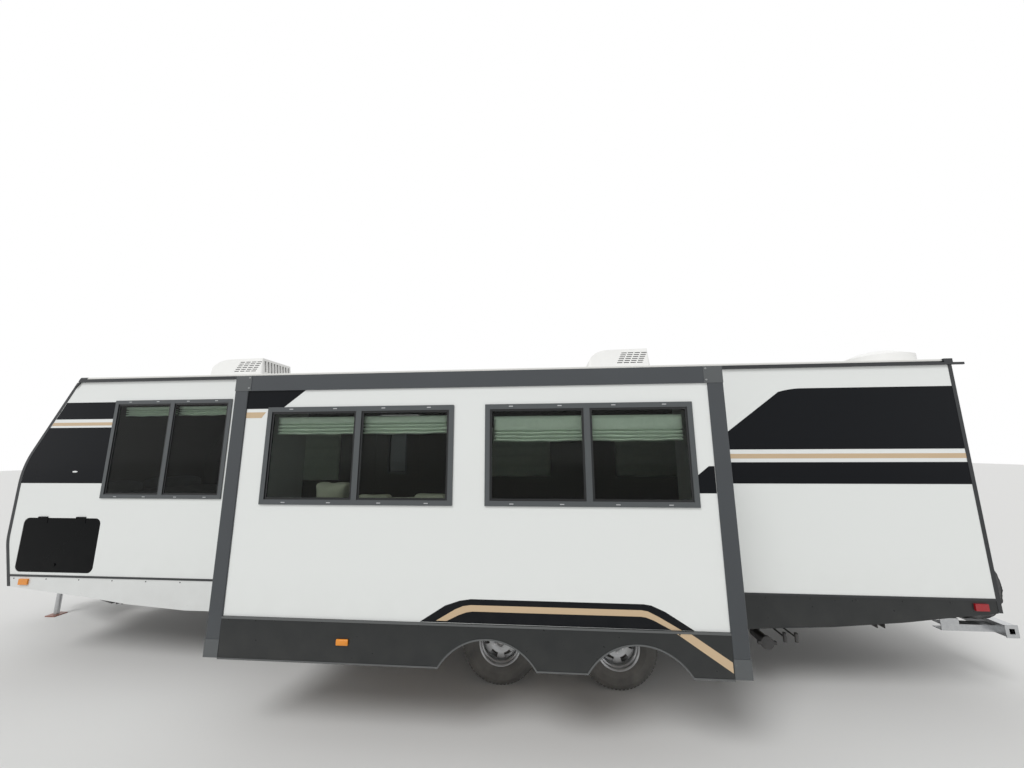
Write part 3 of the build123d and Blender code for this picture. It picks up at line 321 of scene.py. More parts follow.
film_t = 0.0012
nose_edge = ((-5.858, 2.535), (-5.98, 2.291), (-6.02, 2.2), (-6.048, 2.1), (-6.06, 2.0),
             (-6.066, 1.922))
front_black = (((-5.673, 2.855), (-5.0, 2.855), (-5.0, 2.656), (-5.776, 2.656)),
               ((-5.0, 1.922), (-5.0, 2.557), (-5.848, 2.557), *nose_edge))
front_tan = ((-5.797, 2.617), (-5.0, 2.617), (-5.0, 2.581), (-5.815, 2.581))
tail_end, room_end, door_stripe_start = 4.062, 1.45, 2.685
rear_black = ((1.636, 2.272), (tail_end, 2.272), (tail_end, 2.885), (2.54, 2.885), (2.41, 2.852),
              (1.883, 2.457))
rear_low_black = band(room_end, tail_end, 1.939, 2.146)
rear_tan = band(room_end, tail_end, 2.183, 2.229)
door_rear_black = (((door_stripe_start, 2.272), (tail_end, 2.272), (tail_end, 2.885), (3.2, 2.885),
                    (3.07, 2.852), (door_stripe_start, 2.565)),
                   band(door_stripe_start, tail_end, 1.939, 2.146))
door_rear_tan = band(door_stripe_start, tail_end, 2.183, 2.229)
arch_black = ((-1.0, 0.944), (-0.80, 1.066), (-0.684, 1.104), (-0.593, 1.118), (0.742, 1.116),
              (0.80, 1.108), (0.90, 1.066), (1.105, 0.942))
arch_tan = ((-0.870, 0.955), (-0.72, 1.040), (-0.655, 1.066), (-0.593, 1.075), (0.722, 1.074),
            (0.77, 1.067), (0.85, 1.030), (1.012, 0.942), (0.937, 0.942), (0.81, 1.005),
            (0.755, 1.024), (0.716, 1.029), (-0.58, 1.029), (-0.63, 1.021), (-0.69, 1.0),
            (-0.785, 0.955))
skirt_tan = ((0.968, 0.9235), (1.073, 0.9235), (1.352, 0.744), (1.352, 0.672))
room_black = (((-2.672, 2.82), (-2.672, 2.656), (-2.44, 2.656), (-2.317, 2.668), (-2.124, 2.82)),
              ((1.357, 2.147), (1.315, 2.147), (1.231, 2.081), (1.20, 2.057), (1.20, 1.937),
               (1.357, 1.937)))
room_tan = ((-2.672, 2.625), (-2.484, 2.625), (-2.52, 2.574), (-2.672, 2.574))

black_film, _, _ = finish("black_film", band_black, 0.14, mirror=0.1, grain=3,
                          bump=0.0010, tone=0.1, dust=0.05, dust_top=1.6)
tan_film, _, _ = finish("tan_film", band_tan, 0.22, coat=0.2, grain=40, tone=0.04)

bm = bmesh.new()
for outline in (*front_black, rear_low_black):
    film(bm, outline, road_wall, -1)
film(bm, rear_black, road_wall, -1, rounded=((3, 0.09),))
for outline in (*front_black, *door_rear_black, arch_black):
    film(bm, outline, door_wall, 1)
add_piece("black_film_body", bm, black_film, "body")
bm = bmesh.new()
for outline in (front_tan, rear_tan):
    film(bm, outline, road_wall, -1)
for outline in (front_tan, door_rear_tan, skirt_tan):
    film(bm, outline, door_wall, 1)
film(bm, arch_tan, door_wall, 1, layer=2)
add_piece("tan_film_body", bm, tan_film, "body")
bm = bmesh.new()
for outline in (*room_black, arch_black):
    film(bm, outline, room_face, -1)
add_piece("black_film_room", bm, black_film, "slide_out")
bm = bmesh.new()
film(bm, room_tan, room_face, -1)
film(bm, arch_tan, room_face, -1, layer=2)
skirt_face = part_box("slide_skirt")[0][1] + 0.004
film(bm, skirt_tan, skirt_face, -1)
add_piece("tan_film_room", bm, tan_film, "slide_out")

# Mouldings, roof rails, belt trims and the slide-out room's flange: extruded aluminium with a
# charcoal powder coat, screwed on over butyl tape.
charcoal = (0.052, 0.058, 0.064)
flange_coat, tree, shader = finish("flange_coat", charcoal, 0.36, coat=0.1, mirror=0.4, grain=30,
                                   tone=0.1, dust=0.1, dust_top=1.0)
plate_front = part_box("slide_fascia")[0][1]
on_plate = calc(tree, "LESS_THAN", places(tree)[1][1], plate_front + 0.0016)
overlay(tree, shader, on_plate, (0.090, 0.097, 0.100), gloss=0.28)
clad(flange_coat, "slide_fascia")
edge_coat, _, _ = finish("edge_coat", (0.02, 0.022, 0.025), 0.3, coat=0.15, mirror=0.4, grain=24,
                         tone=0.15, dust=0.1, dust_top=1.2)
clad(edge_coat, "roof_rails", "body_mouldings", "belt_trims")

# Roof: a white rubber membrane glued over the whole roof and the slide-out room's, matt, with
# faint patches where water has stood on it.
membrane, _, _ = finish("membrane", (0.70, 0.70, 0.675), 0.62, grain=90, bump=0.0004, tone=0.06)
clad(membrane, "roof", "slide_roof")

# Skirts: formed steel sheet, white ahead of the slide-out room and black behind and below it,
# screwed to the floor's edge. Spray from the wheels dulls the lower part. The raised lips of the
# black skirts are painted lighter, a painted highlight where sun and sky catch their edges.
white_skirt, _, _ = finish("white_skirt", (0.70, 0.715, 0.705), 0.3, coat=0.3, grain=14,
                           bump=0.0004, tone=0.02, dust=0.35)
clad(white_skirt, "skirts_front")
black_skirt, tree, shader = finish("black_skirt", (0.016, 0.018, 0.0185), 0.3, mirror=0.4,
                                   grain=20, bump=0.0004, tone=0.1, dust=0.12)
across = places(tree)[1][1]
# Painted highlight: the outermost lips of the black skirts are coloured lighter than the skirt.
lip_highlight = calc(tree, "MAXIMUM", calc(tree, "LESS_THAN", across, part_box("slide_skirt")[0].y + 0.002),
              calc(tree, "GREATER_THAN", across, door_wall + 0.002))
overlay(tree, shader, lip_highlight, (0.105, 0.110, 0.110))
clad(black_skirt, "skirts_rear", "slide_skirt")

# Windows: square-cornered aluminium frames in dark grey satin paint, with black sashes inside
# and small bright drain covers along the rails. The panes are dark tinted safety glass. Each
# window's ends and heights are the photograph's, and the door side's are mirrored from them.
front_window = (-5.02, -3.555, 1.758, 2.87)
room_windows = ((-2.457, -0.761, 1.828, 2.667), (-0.49, 1.222, 1.828, 2.667))
door_side_windows = (front_window, (-1.4, 0.1, 1.828, 2.667), (1.2, 2.7, 1.828, 2.667))
ring_width, mullion_half = 0.042, 0.025
low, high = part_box("door_frame")
door_window = (low.x - camera_x, high.x - camera_x, low.z, high.z)


def frame_coat(name, windows, middle_bar):
    """Satin paint on the frames of these windows, and black on the sashes inside them."""
    material, tree, shader = finish(name, (0.075, 0.083, 0.087), 0.34, coat=0.1, mirror=0.4,
                                    grain=120, bump=0.00015)
    parts = places(tree)[1]
    for x0, x1, z0, z1 in windows:
        off_centre = calc(tree, "SUBTRACT", parts[0], camera_x + (x0 + x1) / 2)
        across = between(tree, calc(tree, "ABSOLUTE", off_centre), middle_bar,
                         (x1 - x0) / 2 - ring_width)
        upright = between(tree, parts[2], z0 + ring_width, z1 - ring_width)
        overlay(tree, shader, calc(tree, "MULTIPLY", across, upright), (0.008, 0.009, 0.010))
    return material


clad(frame_coat("body_frame_coat", door_side_windows, mullion_half), "window_frames")
clad(frame_coat("room_frame_coat", room_windows, mullion_half), "slide_frames")
clad(frame_coat("door_frame_coat", (door_window,), -1), "door_frame")


def tinted_pane(name, tint):
    """Tinted safety glass, drawn with a slow ripple in its surface."""
    material, tree, shader = new_material(name, tint, 0.02)
    shader.inputs["Transmission Weight"].default_value = 1
    shader.inputs["IOR"].default_value = 1.2
    waves = add_node(tree, "ShaderNodeTexNoise",
                     {"Vector": places(tree)[0], "Scale": 1.6, "Detail": 1})
    relief = add_node(tree, "ShaderNodeBump",
                      {"Height": waves.outputs[0], "Distance": 0.003, "Strength": 1.0})
    tree.links.new(relief.outputs[0], shader.inputs["Normal"])
    return material


clad(tinted_pane("dark_glass", (0.56, 0.60, 0.57)), "window_glass", "slide_glass")
clad(tinted_pane("door_privacy_glass", (0.03, 0.033, 0.033)), "door_glass")
bright_tab, _, _ = finish("bright_tab", (0.55, 0.56, 0.57), 0.3, metallic=1.0, grain=300,
                          bump=0.0001)


def bar(bm, low, high, bevel=0.0):
    """A bar between two corners, with its edges eased."""
    made = bmesh.ops.create_cube(bm, size=1)["verts"]
    bmesh.ops.scale(bm, vec=Vector(high) - Vector(low), verts=made)
    bmesh.ops.translate(bm, vec=(Vector(low) + Vector(high)) / 2, verts=made)
    if bevel:
        edges = list({edge for vert in made for edge in vert.link_edges})
        bmesh.ops.bevel(bm, geom=edges, offset=bevel, affect="EDGES", segments=2, profile=0.5,
                        material=-1)


tab_length, tab_height, tab_t = 0.034, 0.007, 0.0016


def window_tabs(bm, window, face_y, side):
    """Four drain covers on each long rail of a window frame."""
    x0, x1, z0, z1 = window
    near, far = sorted((face_y, face_y + side * tab_t))
    for share in (0.13, 0.37, 0.63, 0.87):
        middle = camera_x + x0 + share * (x1 - x0)
        for z in (z0 + ring_width * 0.45, z1 - ring_width * 0.45):
            bar(bm, (middle - tab_length / 2, near, z - tab_height / 2),
                (middle + tab_length / 2, far, z + tab_height / 2))


bm = bmesh.new()
window_tabs(bm, front_window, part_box("window_frames")[0][1], -1)
for window in door_side_windows:
    window_tabs(bm, window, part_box("window_frames")[1][1], 1)
add_piece("drain_covers_body", bm, bright_tab, "body")
bm = bmesh.new()
for window in room_windows:
    window_tabs(bm, window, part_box("slide_frames")[0][1], -1)
add_piece("drain_covers_room", bm, bright_tab, "slide_out")

# Shades: grey-green woven roman shades, one behind each sash. On the road side they are pulled
# up, each window's to its own height, with a plain band under the rail and three deep pleats
# gathered below it. On the door side they are let down and hang slack between their battens.
pleat_count, pleat_depth, pleat_gap = 3, 0.034, 0.010


def raised_shade(pleat_start, pleat_pitch):
    """Drop and depth along a shade pulled up, whose pleats start at a drop."""
    line = [(pleat_start * share, 0.003 * share) for share in (0.0, 0.33, 0.66, 0.95)]
    for pleat in range(pleat_count):
        start = pleat_start + pleat * pleat_pitch
        line += [(start, 0.007), (start + 0.002, pleat_depth), (start + pleat_gap, pleat_depth),
                 (start + pleat_gap + 0.002, 0.007), (start + (pleat_gap + pleat_pitch) / 2, 0.001)]
    return line + [(line[-1][0] + 0.010, 0.012)]


shade_fold = ((0.15, 0.005), (0.40, 0.009), (0.70, 0.016), (0.90, 0.012), (1.0, 0.004))
shade_margin, shade_gap, shade_t, shade_steps = 0.058, 0.006, 0.0012, 24
shade_sag, shade_wave = 0.005, 0.0022
shade_cloth, tree, shader = finish("shade_cloth", (0.75, 0.85, 0.73), 0.85, mirror=0.2, grain=400,
                                   bump=0.0003, tone=0.12)
slub = add_node(tree, "ShaderNodeTexWave",
                {"Vector": places(tree)[0], "Scale": 160.0, "Distortion": 3.0}, bands_direction="Z")
emboss(tree, shader, slub.outputs["Fac"], 0.0003)


def thicken(made, thickness, offset):
    """Gives a single layer of cloth its thickness."""
    thick = made.modifiers.new("cloth", "SOLIDIFY")
    thick.thickness, thick.offset = thickness, offset


def add_shade(name, window, shade_drop, rail, margin, inner_y, side, body):
    """A shade behind a window; inner_y is the wall's inner face and side its outward side."""
    x0, x1, z0, z1 = window
    left, right = camera_x + x0 + margin, camera_x + x1 - margin
    top = z1 - ring_width - rail
    bm = bmesh.new()
    line = [bm.verts.new((left, inner_y - side * (shade_gap + depth), top - drop))
            for drop, depth in shade_drop]
    edges = [bm.edges.new(pair) for pair in zip(line, line[1:])]
    for step in range(shade_steps):
        grown = bmesh.ops.extrude_edge_only(bm, edges=edges)["geom"]
        verts = verts_of(grown)
        edges = [part for part in grown if isinstance(part, bmesh.types.BMEdge)
                 and all(vert in verts for vert in part.verts)]
        bmesh.ops.translate(bm, vec=((right - left) / shade_steps, 0, 0), verts=verts)
    for vert in bm.verts:
        share = (vert.co.x - left) / (right - left)
        hang = (top - vert.co.z) / shade_drop[-1][0]
        wave = shade_wave * math.sin(17 * share + 9 * hang)
        vert.co.z -= hang * (shade_sag * math.sin(math.pi * share) + wave)
    made = add_piece(name, bm, shade_cloth, body, smooth=60)
    thicken(made, shade_t, 0)


wall_t, room_wall_t, fold_pitch = 0.05, 0.04, 0.17
room_inner = room_face + room_wall_t
sash_inset, sash_lap = 0.012, 0.036
at_wall = (road_wall + wall_t, "body", "window_frames")
at_room = (room_inner, "slide_out", "slide_frames")
for name, window, (inner_y, body, node), start, pitch, rail in (
        ("bedroom_left", front_window, at_wall, 0.030, 0.024, 0.030),
        ("room_front", room_windows[0], at_room, 0.060, 0.031, 0.045),
        ("room_rear", room_windows[1], at_room, 0.120, 0.031, 0.058)):
    x0, x1, z0, z1 = window
    middle = (x0 + x1) / 2
    for sash, ends in (("a", (x0 + sash_inset, middle + sash_lap)),
                       ("b", (middle - sash_lap, x1 - sash_inset))):
        add_shade(f"shade_{name}_{sash}", (*ends, z0, z1), raised_shade(start, pitch), rail,
                  shade_margin, inner_y, -1, body)
for name, window in zip(("bedroom_right", "kitchen", "bunk"), door_side_windows):
    fall = window[3] - window[2] - 2 * ring_width + 0.05
    folds = round(fall / fold_pitch)
    lowered = [(0.0, 0.002)] + [((fold + share) * fall / folds, depth) for fold in range(folds)
                                for share, depth in shade_fold]
    add_shade("shade_" + name, window, lowered, -0.02, -0.015, door_wall - wall_t, 1, "body")

# Bed and sofa: a quilted mattress with two pillows on the bed base, and under the slide-out
# room's front window a sofa with loose seat and back pads and four throw pillows, whose tops
# show over the sill. Each is a sewn cover blown up by its stuffing, flat where it rests.
bedding, _, _ = finish("bedding", (0.13, 0.135, 0.14), 0.9, mirror=0.2, grain=260, bump=0.0006,
                       tone=0.12)
upholstery, _, _ = finish("upholstery", (0.055, 0.052, 0.050), 0.85, mirror=0.2, grain=320,
                          bump=0.0006, tone=0.2)
pillow_cloth, _, _ = finish("pillow_cloth", (0.50, 0.50, 0.40), 0.9, mirror=0.2, grain=320,
                            bump=0.0006, tone=0.1)
swell_frames, swell_pressure = 20, 4.0


def settle(made):
    """Writes a piece's modifiers into its mesh."""
    ready = made.evaluated_get(bpy.context.evaluated_depsgraph_get())
    mesh = bpy.data.meshes.new_from_object(ready)
    made.modifiers.clear()
    made.data = mesh


def add_pad(name, low, high, voxel, swell, material, body, lean=0.0):
    """A stuffed pad between two corners; swell is how far its cover may rise, lean its tilt."""
    low, high = Vector(low), Vector(high)
    bm = bmesh.new()
    inset = swell * 0.5
    bar(bm, low + Vector((inset, inset, 0)), high - Vector((inset, inset, inset)),
        bevel=min(high - low) * 0.2)
    made = add_piece(name, bm, material, body)
    remesh = made.modifiers.new("remesh", "REMESH")
    remesh.mode, remesh.voxel_size = "VOXEL", voxel
    settle(made)
    start = [vert.co.copy() for vert in made.data.vertices]
    cloth = made.modifiers.new("cloth", "CLOTH")
    cloth.settings.use_pressure = True
    cloth.settings.uniform_pressure_force = swell_pressure
    cloth.settings.effector_weights.gravity = 0
    cloth.point_cache.frame_end = swell_frames
    for frame_number in range(1, swell_frames + 1):
        bpy.context.scene.frame_set(frame_number)
    settle(made)
    bpy.context.scene.frame_set(1)
    for vert, home in zip(made.data.vertices, start):
        move = vert.co - home
        if move.length > swell:
            vert.co = home + move * (swell / move.length)
    for vert in made.data.vertices:
        vert.co.z = max(vert.co.z, low.z)
    if lean:
        foot = Matrix.Translation(((low.x + high.x) / 2, low.y, low.z))
        made.data.transform(foot @ Matrix.Rotation(math.radians(lean), 4, "X") @ foot.inverted())
    made.data.shade_smooth()
    finer = made.modifiers.new("finer", "SUBSURF")
    finer.levels = finer.render_levels = 1


low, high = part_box("bed_platform")
mattress_top, bed_half, pillow_rise = high.z + 0.17, 0.95, 0.13
add_pad("mattress", (low.x + 0.03, centre_y - bed_half, high.z),
        (high.x - 0.03, centre_y + bed_half, mattress_top), 0.030, 0.015, bedding, "body")
for index, y in enumerate((centre_y - 0.82, centre_y + 0.10)):
    add_pad(f"bed_pillow_{index + 1}", (low.x + 0.06, y, mattress_top - 0.002),
            (low.x + 0.50, y + 0.70, mattress_top + pillow_rise), 0.020, 0.03, bedding, "body")
room_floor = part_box("slide_floor")[1][2]
sofa_start, sofa_end, sofa_back, sofa_depth = -1.00, 0.56, room_inner + 0.035, 0.74
seat_low, seat_high, back_top, back_depth = room_floor + 0.26, room_floor + 0.45, 1.83, 0.19
arm_width, sofa_front, pad_front = 0.10, sofa_back + sofa_depth, sofa_back + back_depth + 0.03
bm = bmesh.new()
bar(bm, (sofa_start, sofa_back, room_floor), (sofa_end, sofa_front, seat_low), bevel=0.012)
bar(bm, (sofa_start + 0.02, sofa_back, seat_low - 0.02),
    (sofa_end - 0.02, sofa_back + 0.05, back_top - 0.05), bevel=0.012)
for x in (sofa_start, sofa_end - arm_width):
    bar(bm, (x, sofa_back, seat_low - 0.05), (x + arm_width, sofa_front, seat_high + 0.17),
        bevel=0.03)
add_piece("sofa_base", bm, upholstery, "slide_out", smooth=50)
pad_length, pad_lap = (sofa_end - sofa_start - 2 * arm_width) / 2, 0.004
for index in range(2):
    x0 = sofa_start + arm_width + index * pad_length - pad_lap
    x1 = x0 + pad_length + 2 * pad_lap
    for name, low, high, fill in (
            ("seat", (x0, sofa_back + 0.06, seat_low), (x1, sofa_front + 0.01, seat_high), 0.8),
            ("back", (x0, sofa_back + 0.045, seat_high - 0.008), (x1, pad_front, back_top), 0.7)):
        add_pad(f"sofa_{name}_{index + 1}", low, high, 0.020, 0.02, upholstery, "slide_out")
for index, (x, width, rise) in enumerate(((-0.60, 0.35, 0.18), (-0.20, 0.36, 0.06),
                                          (0.09, 0.38, 0.04), (0.34, 0.34, 0.07))):
    pillow_y = pad_front + 0.02 * (index % 2)
    add_pad(f"throw_pillow_{index + 1}", (x - width / 2, pillow_y, seat_high - 0.012),
            (x + width / 2, pillow_y + 0.15, back_top + rise), 0.018, 0.03, pillow_cloth,
            "slide_out", lean=3)

# Lids and door fittings: gloss black baggage lids, and on the door a black lever latch with its
# lock, a grab handle of bent tube beside it and a porch lamp above.
lid_gloss, _, _ = finish("lid_gloss", (0.004, 0.0045, 0.005), 0.1, mirror=0.07, grain=5,
                         bump=0.0010, tone=0.1, dust=0.03, dust_top=1.5)
clad(lid_gloss, "baggage_lid_left", "baggage_lid_right")
latch_black, _, _ = finish("latch_black", (0.010, 0.010, 0.011), 0.3, mirror=0.4, grain=260,
                           bump=0.0003, tone=0.1)


def turned(bm, outline, centre, steps, out=(0, 1, 0), closed=False):
    """Spins an outline of places (distance out, radius) round an axle through a centre."""
    centre, out = Vector(centre), Vector(out)
    line = [bm.verts.new(centre + out * along + Vector((0, 0, radius)))
            for along, radius in outline]
    edges = [bm.edges.new(pair) for pair in zip(line, line[1:] + line[:1] if closed else line[1:])]
    bmesh.ops.spin(bm, geom=line + edges, cent=centre, axis=[abs(share) for share in out],
                   dvec=(0, 0, 0), angle=math.tau, steps=steps, use_merge=True)
    bmesh.ops.remove_doubles(bm, verts=bm.verts, dist=1e-5)


low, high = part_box("entry_door")
latch_x, latch_z, latch_face, lock_rise = high.x - 0.090, 1.48, high.y, 0.040
latch_bars = (((-0.034, 0.034), (0.0, 0.004), (-0.055, 0.055), 0.002),
              ((-0.026, 0.026), (0.012, 0.022), (-0.044, 0.006), 0.005),
              ((0.012, 0.024), (0.002, 0.018), (-0.038, 0.0), 0.003))
lock_line = ((0.009, 0.0), (0.009, 0.006), (0.007, 0.012), (0.003, 0.014), (0.002, 0.014),
             (0.002, 0.0))
bm = bmesh.new()
for (x0, x1), (y0, y1), (z0, z1), bevel in latch_bars:
    bar(bm, (latch_x + x0, latch_face + y0, latch_z + z0),
        (latch_x + x1, latch_face + y1, latch_z + z1), bevel)
turned(bm, lock_line, (latch_x, latch_face, latch_z + lock_rise), 20)
add_piece("door_latch", bm, latch_black, "door", smooth=35)

handle_x, handle_low, handle_high, handle_reach = high.x + 0.11, 1.02, 1.72, 0.062
handle_radius, handle_bend, handle_bow = 0.011, 0.05, 0.004
curve = bpy.data.curves.new("grab_handle", "CURVE")
curve.dimensions, curve.bevel_depth, curve.bevel_resolution = "3D", handle_radius, 6
curve.use_fill_caps, curve.resolution_u = True, 8
route = ((0, handle_low), (handle_reach, handle_low), (handle_reach, handle_low + handle_bend),
         (handle_reach + handle_bow, (handle_low + handle_high) / 2),
         (handle_reach, handle_high - handle_bend), (handle_reach, handle_high), (0, handle_high))
spline = curve.splines.new("NURBS")
spline.points.add(len(route) - 1)
for point, (out, z) in zip(spline.points, route):
    point.co = (handle_x, door_wall + out, z, 1)
spline.order_u = 3
spline.use_endpoint_u = True
curve.materials.append(latch_black)
handle = new_object("grab_handle", curve)
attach(handle, "body")
bm = bmesh.new()
foot_half, foot_t, foot_height = 0.022, 0.007, 0.030
for z in (handle_low, handle_high):
    bar(bm, (handle_x - foot_half, door_wall, z - foot_height),
        (handle_x + foot_half, door_wall + foot_t, z + foot_height), bevel=0.003)
add_piece("handle_feet", bm, latch_black, "body", smooth=35)

porch_lens, _, _ = finish("porch_lens", (0.80, 0.79, 0.74), 0.25, coat=0.3, bump=0.0006, tone=0.03)
lamp_x, lamp_z, lamp_half, lamp_rise, lamp_depth, lens_inset = (
    (low.x + high.x) / 2, 2.968, 0.095, 0.0375, 0.032, 0.012)
for name, material, slot, inset, start, end, bevel in (
        ("porch_lamp_base", latch_black, "charcoal_trim", 0.0, 0.0, lamp_depth * 0.4, 0.006),
        ("porch_lamp_lens", porch_lens, "white_panel", lens_inset, 0.004, lamp_depth, 0.010)):
    bm = bmesh.new()
    bar(bm, (lamp_x - lamp_half + inset, door_wall + start, lamp_z - lamp_rise + inset),
        (lamp_x + lamp_half - inset, door_wall + end, lamp_z + lamp_rise - inset), bevel)
    add_piece(name, bm, material, "body", smooth=35)

# Chassis: welded steel beams, axles, arms, brackets, legs and steps in black chassis paint, with
# an orange-peel surface, road dust and a little rust where stones have hit it.
chassis_paint, tree, shader = finish("chassis_paint", (0.016, 0.0165, 0.018), 0.42, grain=260,
                                     tone=0.3, dust=0.5, dust_top=0.9)
chips = add_node(tree, "ShaderNodeTexNoise",
                 {"Vector": places(tree)[0], "Scale": 28.0, "Detail": 6})
overlay(tree, shader, calc(tree, "GREATER_THAN", chips.outputs[0], 0.72), (0.12, 0.05, 0.025))
clad(chassis_paint, "chassis_rails", "cross_frame", "a_frame", "coupler", "axle_beams",
     "torsion_arms", "slide_guides", "spare_carrier", "leg_brackets", "leg_front_left",
     "leg_front_right", "leg_rear_left", "leg_rear_right", "entry_steps")

# Underbelly: black fluted plastic sheet, stapled up under the floor, dusty and with its flutes
# running across the caravan.
belly_sheet, tree, shader = finish("belly_sheet", (0.022, 0.022, 0.024), 0.5, grain=40, bump=0.0006,
                                   tone=0.2, dust=0.45, dust_top=1.0)
flutes = add_node(tree, "ShaderNodeTexWave", {"Vector": places(tree)[0], "Scale": 22.0},
                  bands_direction="X")
emboss(tree, shader, flutes.outputs["Fac"], 0.0015)
clad(belly_sheet, "underbelly")

# Floor and bed base: sheets of plywood, left bare and dull, with their grain along the caravan
# in darker, wandering streaks.
plywood, tree, shader = finish("plywood", (0.22, 0.15, 0.09), 0.6, grain=30, bump=0.0004, tone=0.25,
                               stretch=(0.15, 1, 1))
figure = add_node(tree, "ShaderNodeTexWave", {"Vector": places(tree, (0.6, 8, 8))[0], "Scale": 1.4,
                                              "Distortion": 6.0}, bands_direction="Y")
overlay(tree, shader, scaled(tree, figure.outputs["Fac"], 0.0, 0.45), (0.13, 0.08, 0.045))
clad(plywood, "deck", "slide_floor", "bed_platform")

# Galvanised parts: the tongue jack, the bumper tube and the slide-out room's arms are plated
# steel, where the zinc shows as a faint patchwork of crystals. The jack's motor is under a black
# plastic hood, and its foot has rusted.
zinc, tree, shader = finish("zinc", (0.58, 0.59, 0.60), 0.34, metallic=1.0, grain=90, tone=0.06,
                            dust=0.25, dust_top=0.6)
where, parts = places(tree)
crystals = add_node(tree, "ShaderNodeTexVoronoi", {"Vector": where, "Scale": 60.0})
spangle = add_node(tree, "ShaderNodeSeparateColor", {0: crystals.outputs["Color"]})
overlay(tree, shader, calc(tree, "MULTIPLY", spangle.outputs[0], 0.35), (0.42, 0.43, 0.45))
hood = calc(tree, "GREATER_THAN", parts[2], 0.92)
foot = calc(tree, "LESS_THAN", parts[2], 0.013)
overlay(tree, shader, hood, (0.03, 0.03, 0.032))
overlay(tree, shader, foot, (0.22, 0.075, 0.045))
overlay(tree, shader, calc(tree, "MAXIMUM", hood, foot), 0.0, "Metallic")
clad(zinc, "tongue_jack", "rear_bumper", "slide_arms")

# Gas bottle cover: one vacuum-formed shell in pale grey plastic with a pebbled surface, strapped
# over the bottles on the tongue.
shell_plastic, _, _ = finish("shell_plastic", (0.70, 0.71, 0.71), 0.42, grain=180, bump=0.0008,
                             tone=0.04, dust=0.2, dust_top=1.0)
clad(shell_plastic, "propane_cover")

# Coolers and roof vents: injection-moulded white plastic. Black screens sit in the slots along
# the coolers' sides and behind the louvres at their back; their black is partly the mesh's own
# colour and partly painted shade for the dim inside of the coolers.
roof_plastic, _, _ = finish("roof_plastic", (0.87, 0.87, 0.855), 0.4, grain=160, bump=0.0003,
                            tone=0.03)
clad(roof_plastic, "air_conditioners", "roof_vents")
# The screens' near black is partly painted shade for the hollows behind the slots.
screen_and_slot_shade, _, _ = finish("screen_and_slot_shade", (0.06, 0.062, 0.066), 0.6, grain=400, bump=0.0004,
                           tone=0.3)
cooler_length, cooler_width, cooler_base, cooler_top = 0.85, 0.70, 3.16, 3.59
coolers = (camera_x - 4.79, camera_x + 0.59)
screen_lean, screen_t = math.tan(math.radians(7)), 0.002
slot_rows, slot_columns, slot_low, slot_rise, slot_step = 6, 4, 3.392, 0.027, 0.013
slot_start, slot_length, slot_pitch, slot_height, slot_depth = 0.40, 0.07, 0.086, 0.012, 0.010
louvre_count, louvre_pitch, louvre_width, louvre_depth = 9, 0.062, 0.034, 0.014
bm = bmesh.new()
for cooler_x in coolers:
    for row in range(slot_rows):
        z = slot_low + row * slot_rise
        reach = cooler_width / 2 - (z - cooler_base) * screen_lean - slot_depth
        for column in range(slot_columns):
            x = cooler_x + slot_start + row * slot_step + column * slot_pitch
            for side in (-1, 1):
                near, far = sorted((centre_y + side * reach, centre_y + side * (reach + screen_t)))
                bar(bm, (x, near, z), (x + slot_length, far, z + slot_height))
    back = cooler_x + cooler_length - (cooler_top - cooler_base) * screen_lean - louvre_depth
    for index in range(louvre_count):
        y = centre_y + (index + 0.5 - louvre_count / 2) * louvre_pitch
        bar(bm, (back, y - louvre_width / 2, slot_low),
            (back + screen_t, y + louvre_width / 2, cooler_top - louvre_width))
add_piece("cooler_slot_shade_screens", bm, screen_and_slot_shade, "body")

# Roof sealant: a self-levelling white bead, run by hand from a gun on to the membrane round the
# foot of each cooler, and uneven in width.
sealant, _, _ = finish("sealant", (0.62, 0.62, 0.59), 0.5, grain=35, bump=0.0015, tone=0.12)


def surface_of(node):
    """A CAD node's surface, to find places on it."""
    copy = bmesh.new()
    copy.from_mesh(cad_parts[node].data)
    tree = BVHTree.FromBMesh(copy)
    copy.free()
    return tree


roof_surface = surface_of("roof")
bead_width, bead_height = 0.020, 0.006
bead_line = ((-1, -0.5), (-0.9, 0.35), (-0.4, 1), (0.4, 1), (0.9, 0.35), (1, -0.5))
bead_corner, bead_piece, bead_turn, turn_steps = 0.05, 0.08, 22.5, 5


def add_bead(bm, outline):
    """A bead laid along a closed outline of places (x, y) on the roof."""
    rings = []
    for index, (x, y) in enumerate(outline):
        before, after = outline[index - 1], outline[(index + 1) % len(outline)]
        along = Vector((after[0] - before[0], after[1] - before[1], 0)).normalized()
        out = Vector((along.y, -along.x, 0))
        ground = roof_surface.ray_cast(Vector((x, y, 5)), Vector((0, 0, -1)))[0]
        half = bead_width / 2 * (1 + 0.3 * noise.noise(Vector((x * 9, y * 9, 0))))
        rings.append([bm.verts.new(ground + out * w * half + Vector((0, 0, h * bead_height)))
                      for w, h in bead_line])
    edges = [[bm.edges.new((a, b)) for a, b in zip(ring, ring[1:] + ring[:1])] for ring in rings]
    for near, far in zip(edges, edges[1:] + edges[:1]):
        bmesh.ops.bridge_loops(bm, edges=near + far)


def box_outline(x0, x1, y0, y1):
    """Points round a rectangle with rounded corners."""
    x0, x1, y0, y1 = x0 + bead_corner, x1 - bead_corner, y0 + bead_corner, y1 - bead_corner
    turns = [(x, y, math.radians(start + step * bead_turn))
             for x, y, start in ((x1, y1, 0), (x0, y1, 90), (x0, y0, 180), (x1, y0, 270))
             for step in range(turn_steps)]
    points = [Vector((x + bead_corner * math.cos(turn), y + bead_corner * math.sin(turn)))
              for x, y, turn in turns]
    ring = []
    for a, b in zip(points, points[1:] + points[:1]):
        pieces = max(1, round((b - a).length / bead_piece))
        ring += [a.lerp(b, piece / pieces) for piece in range(pieces)]
    return ring


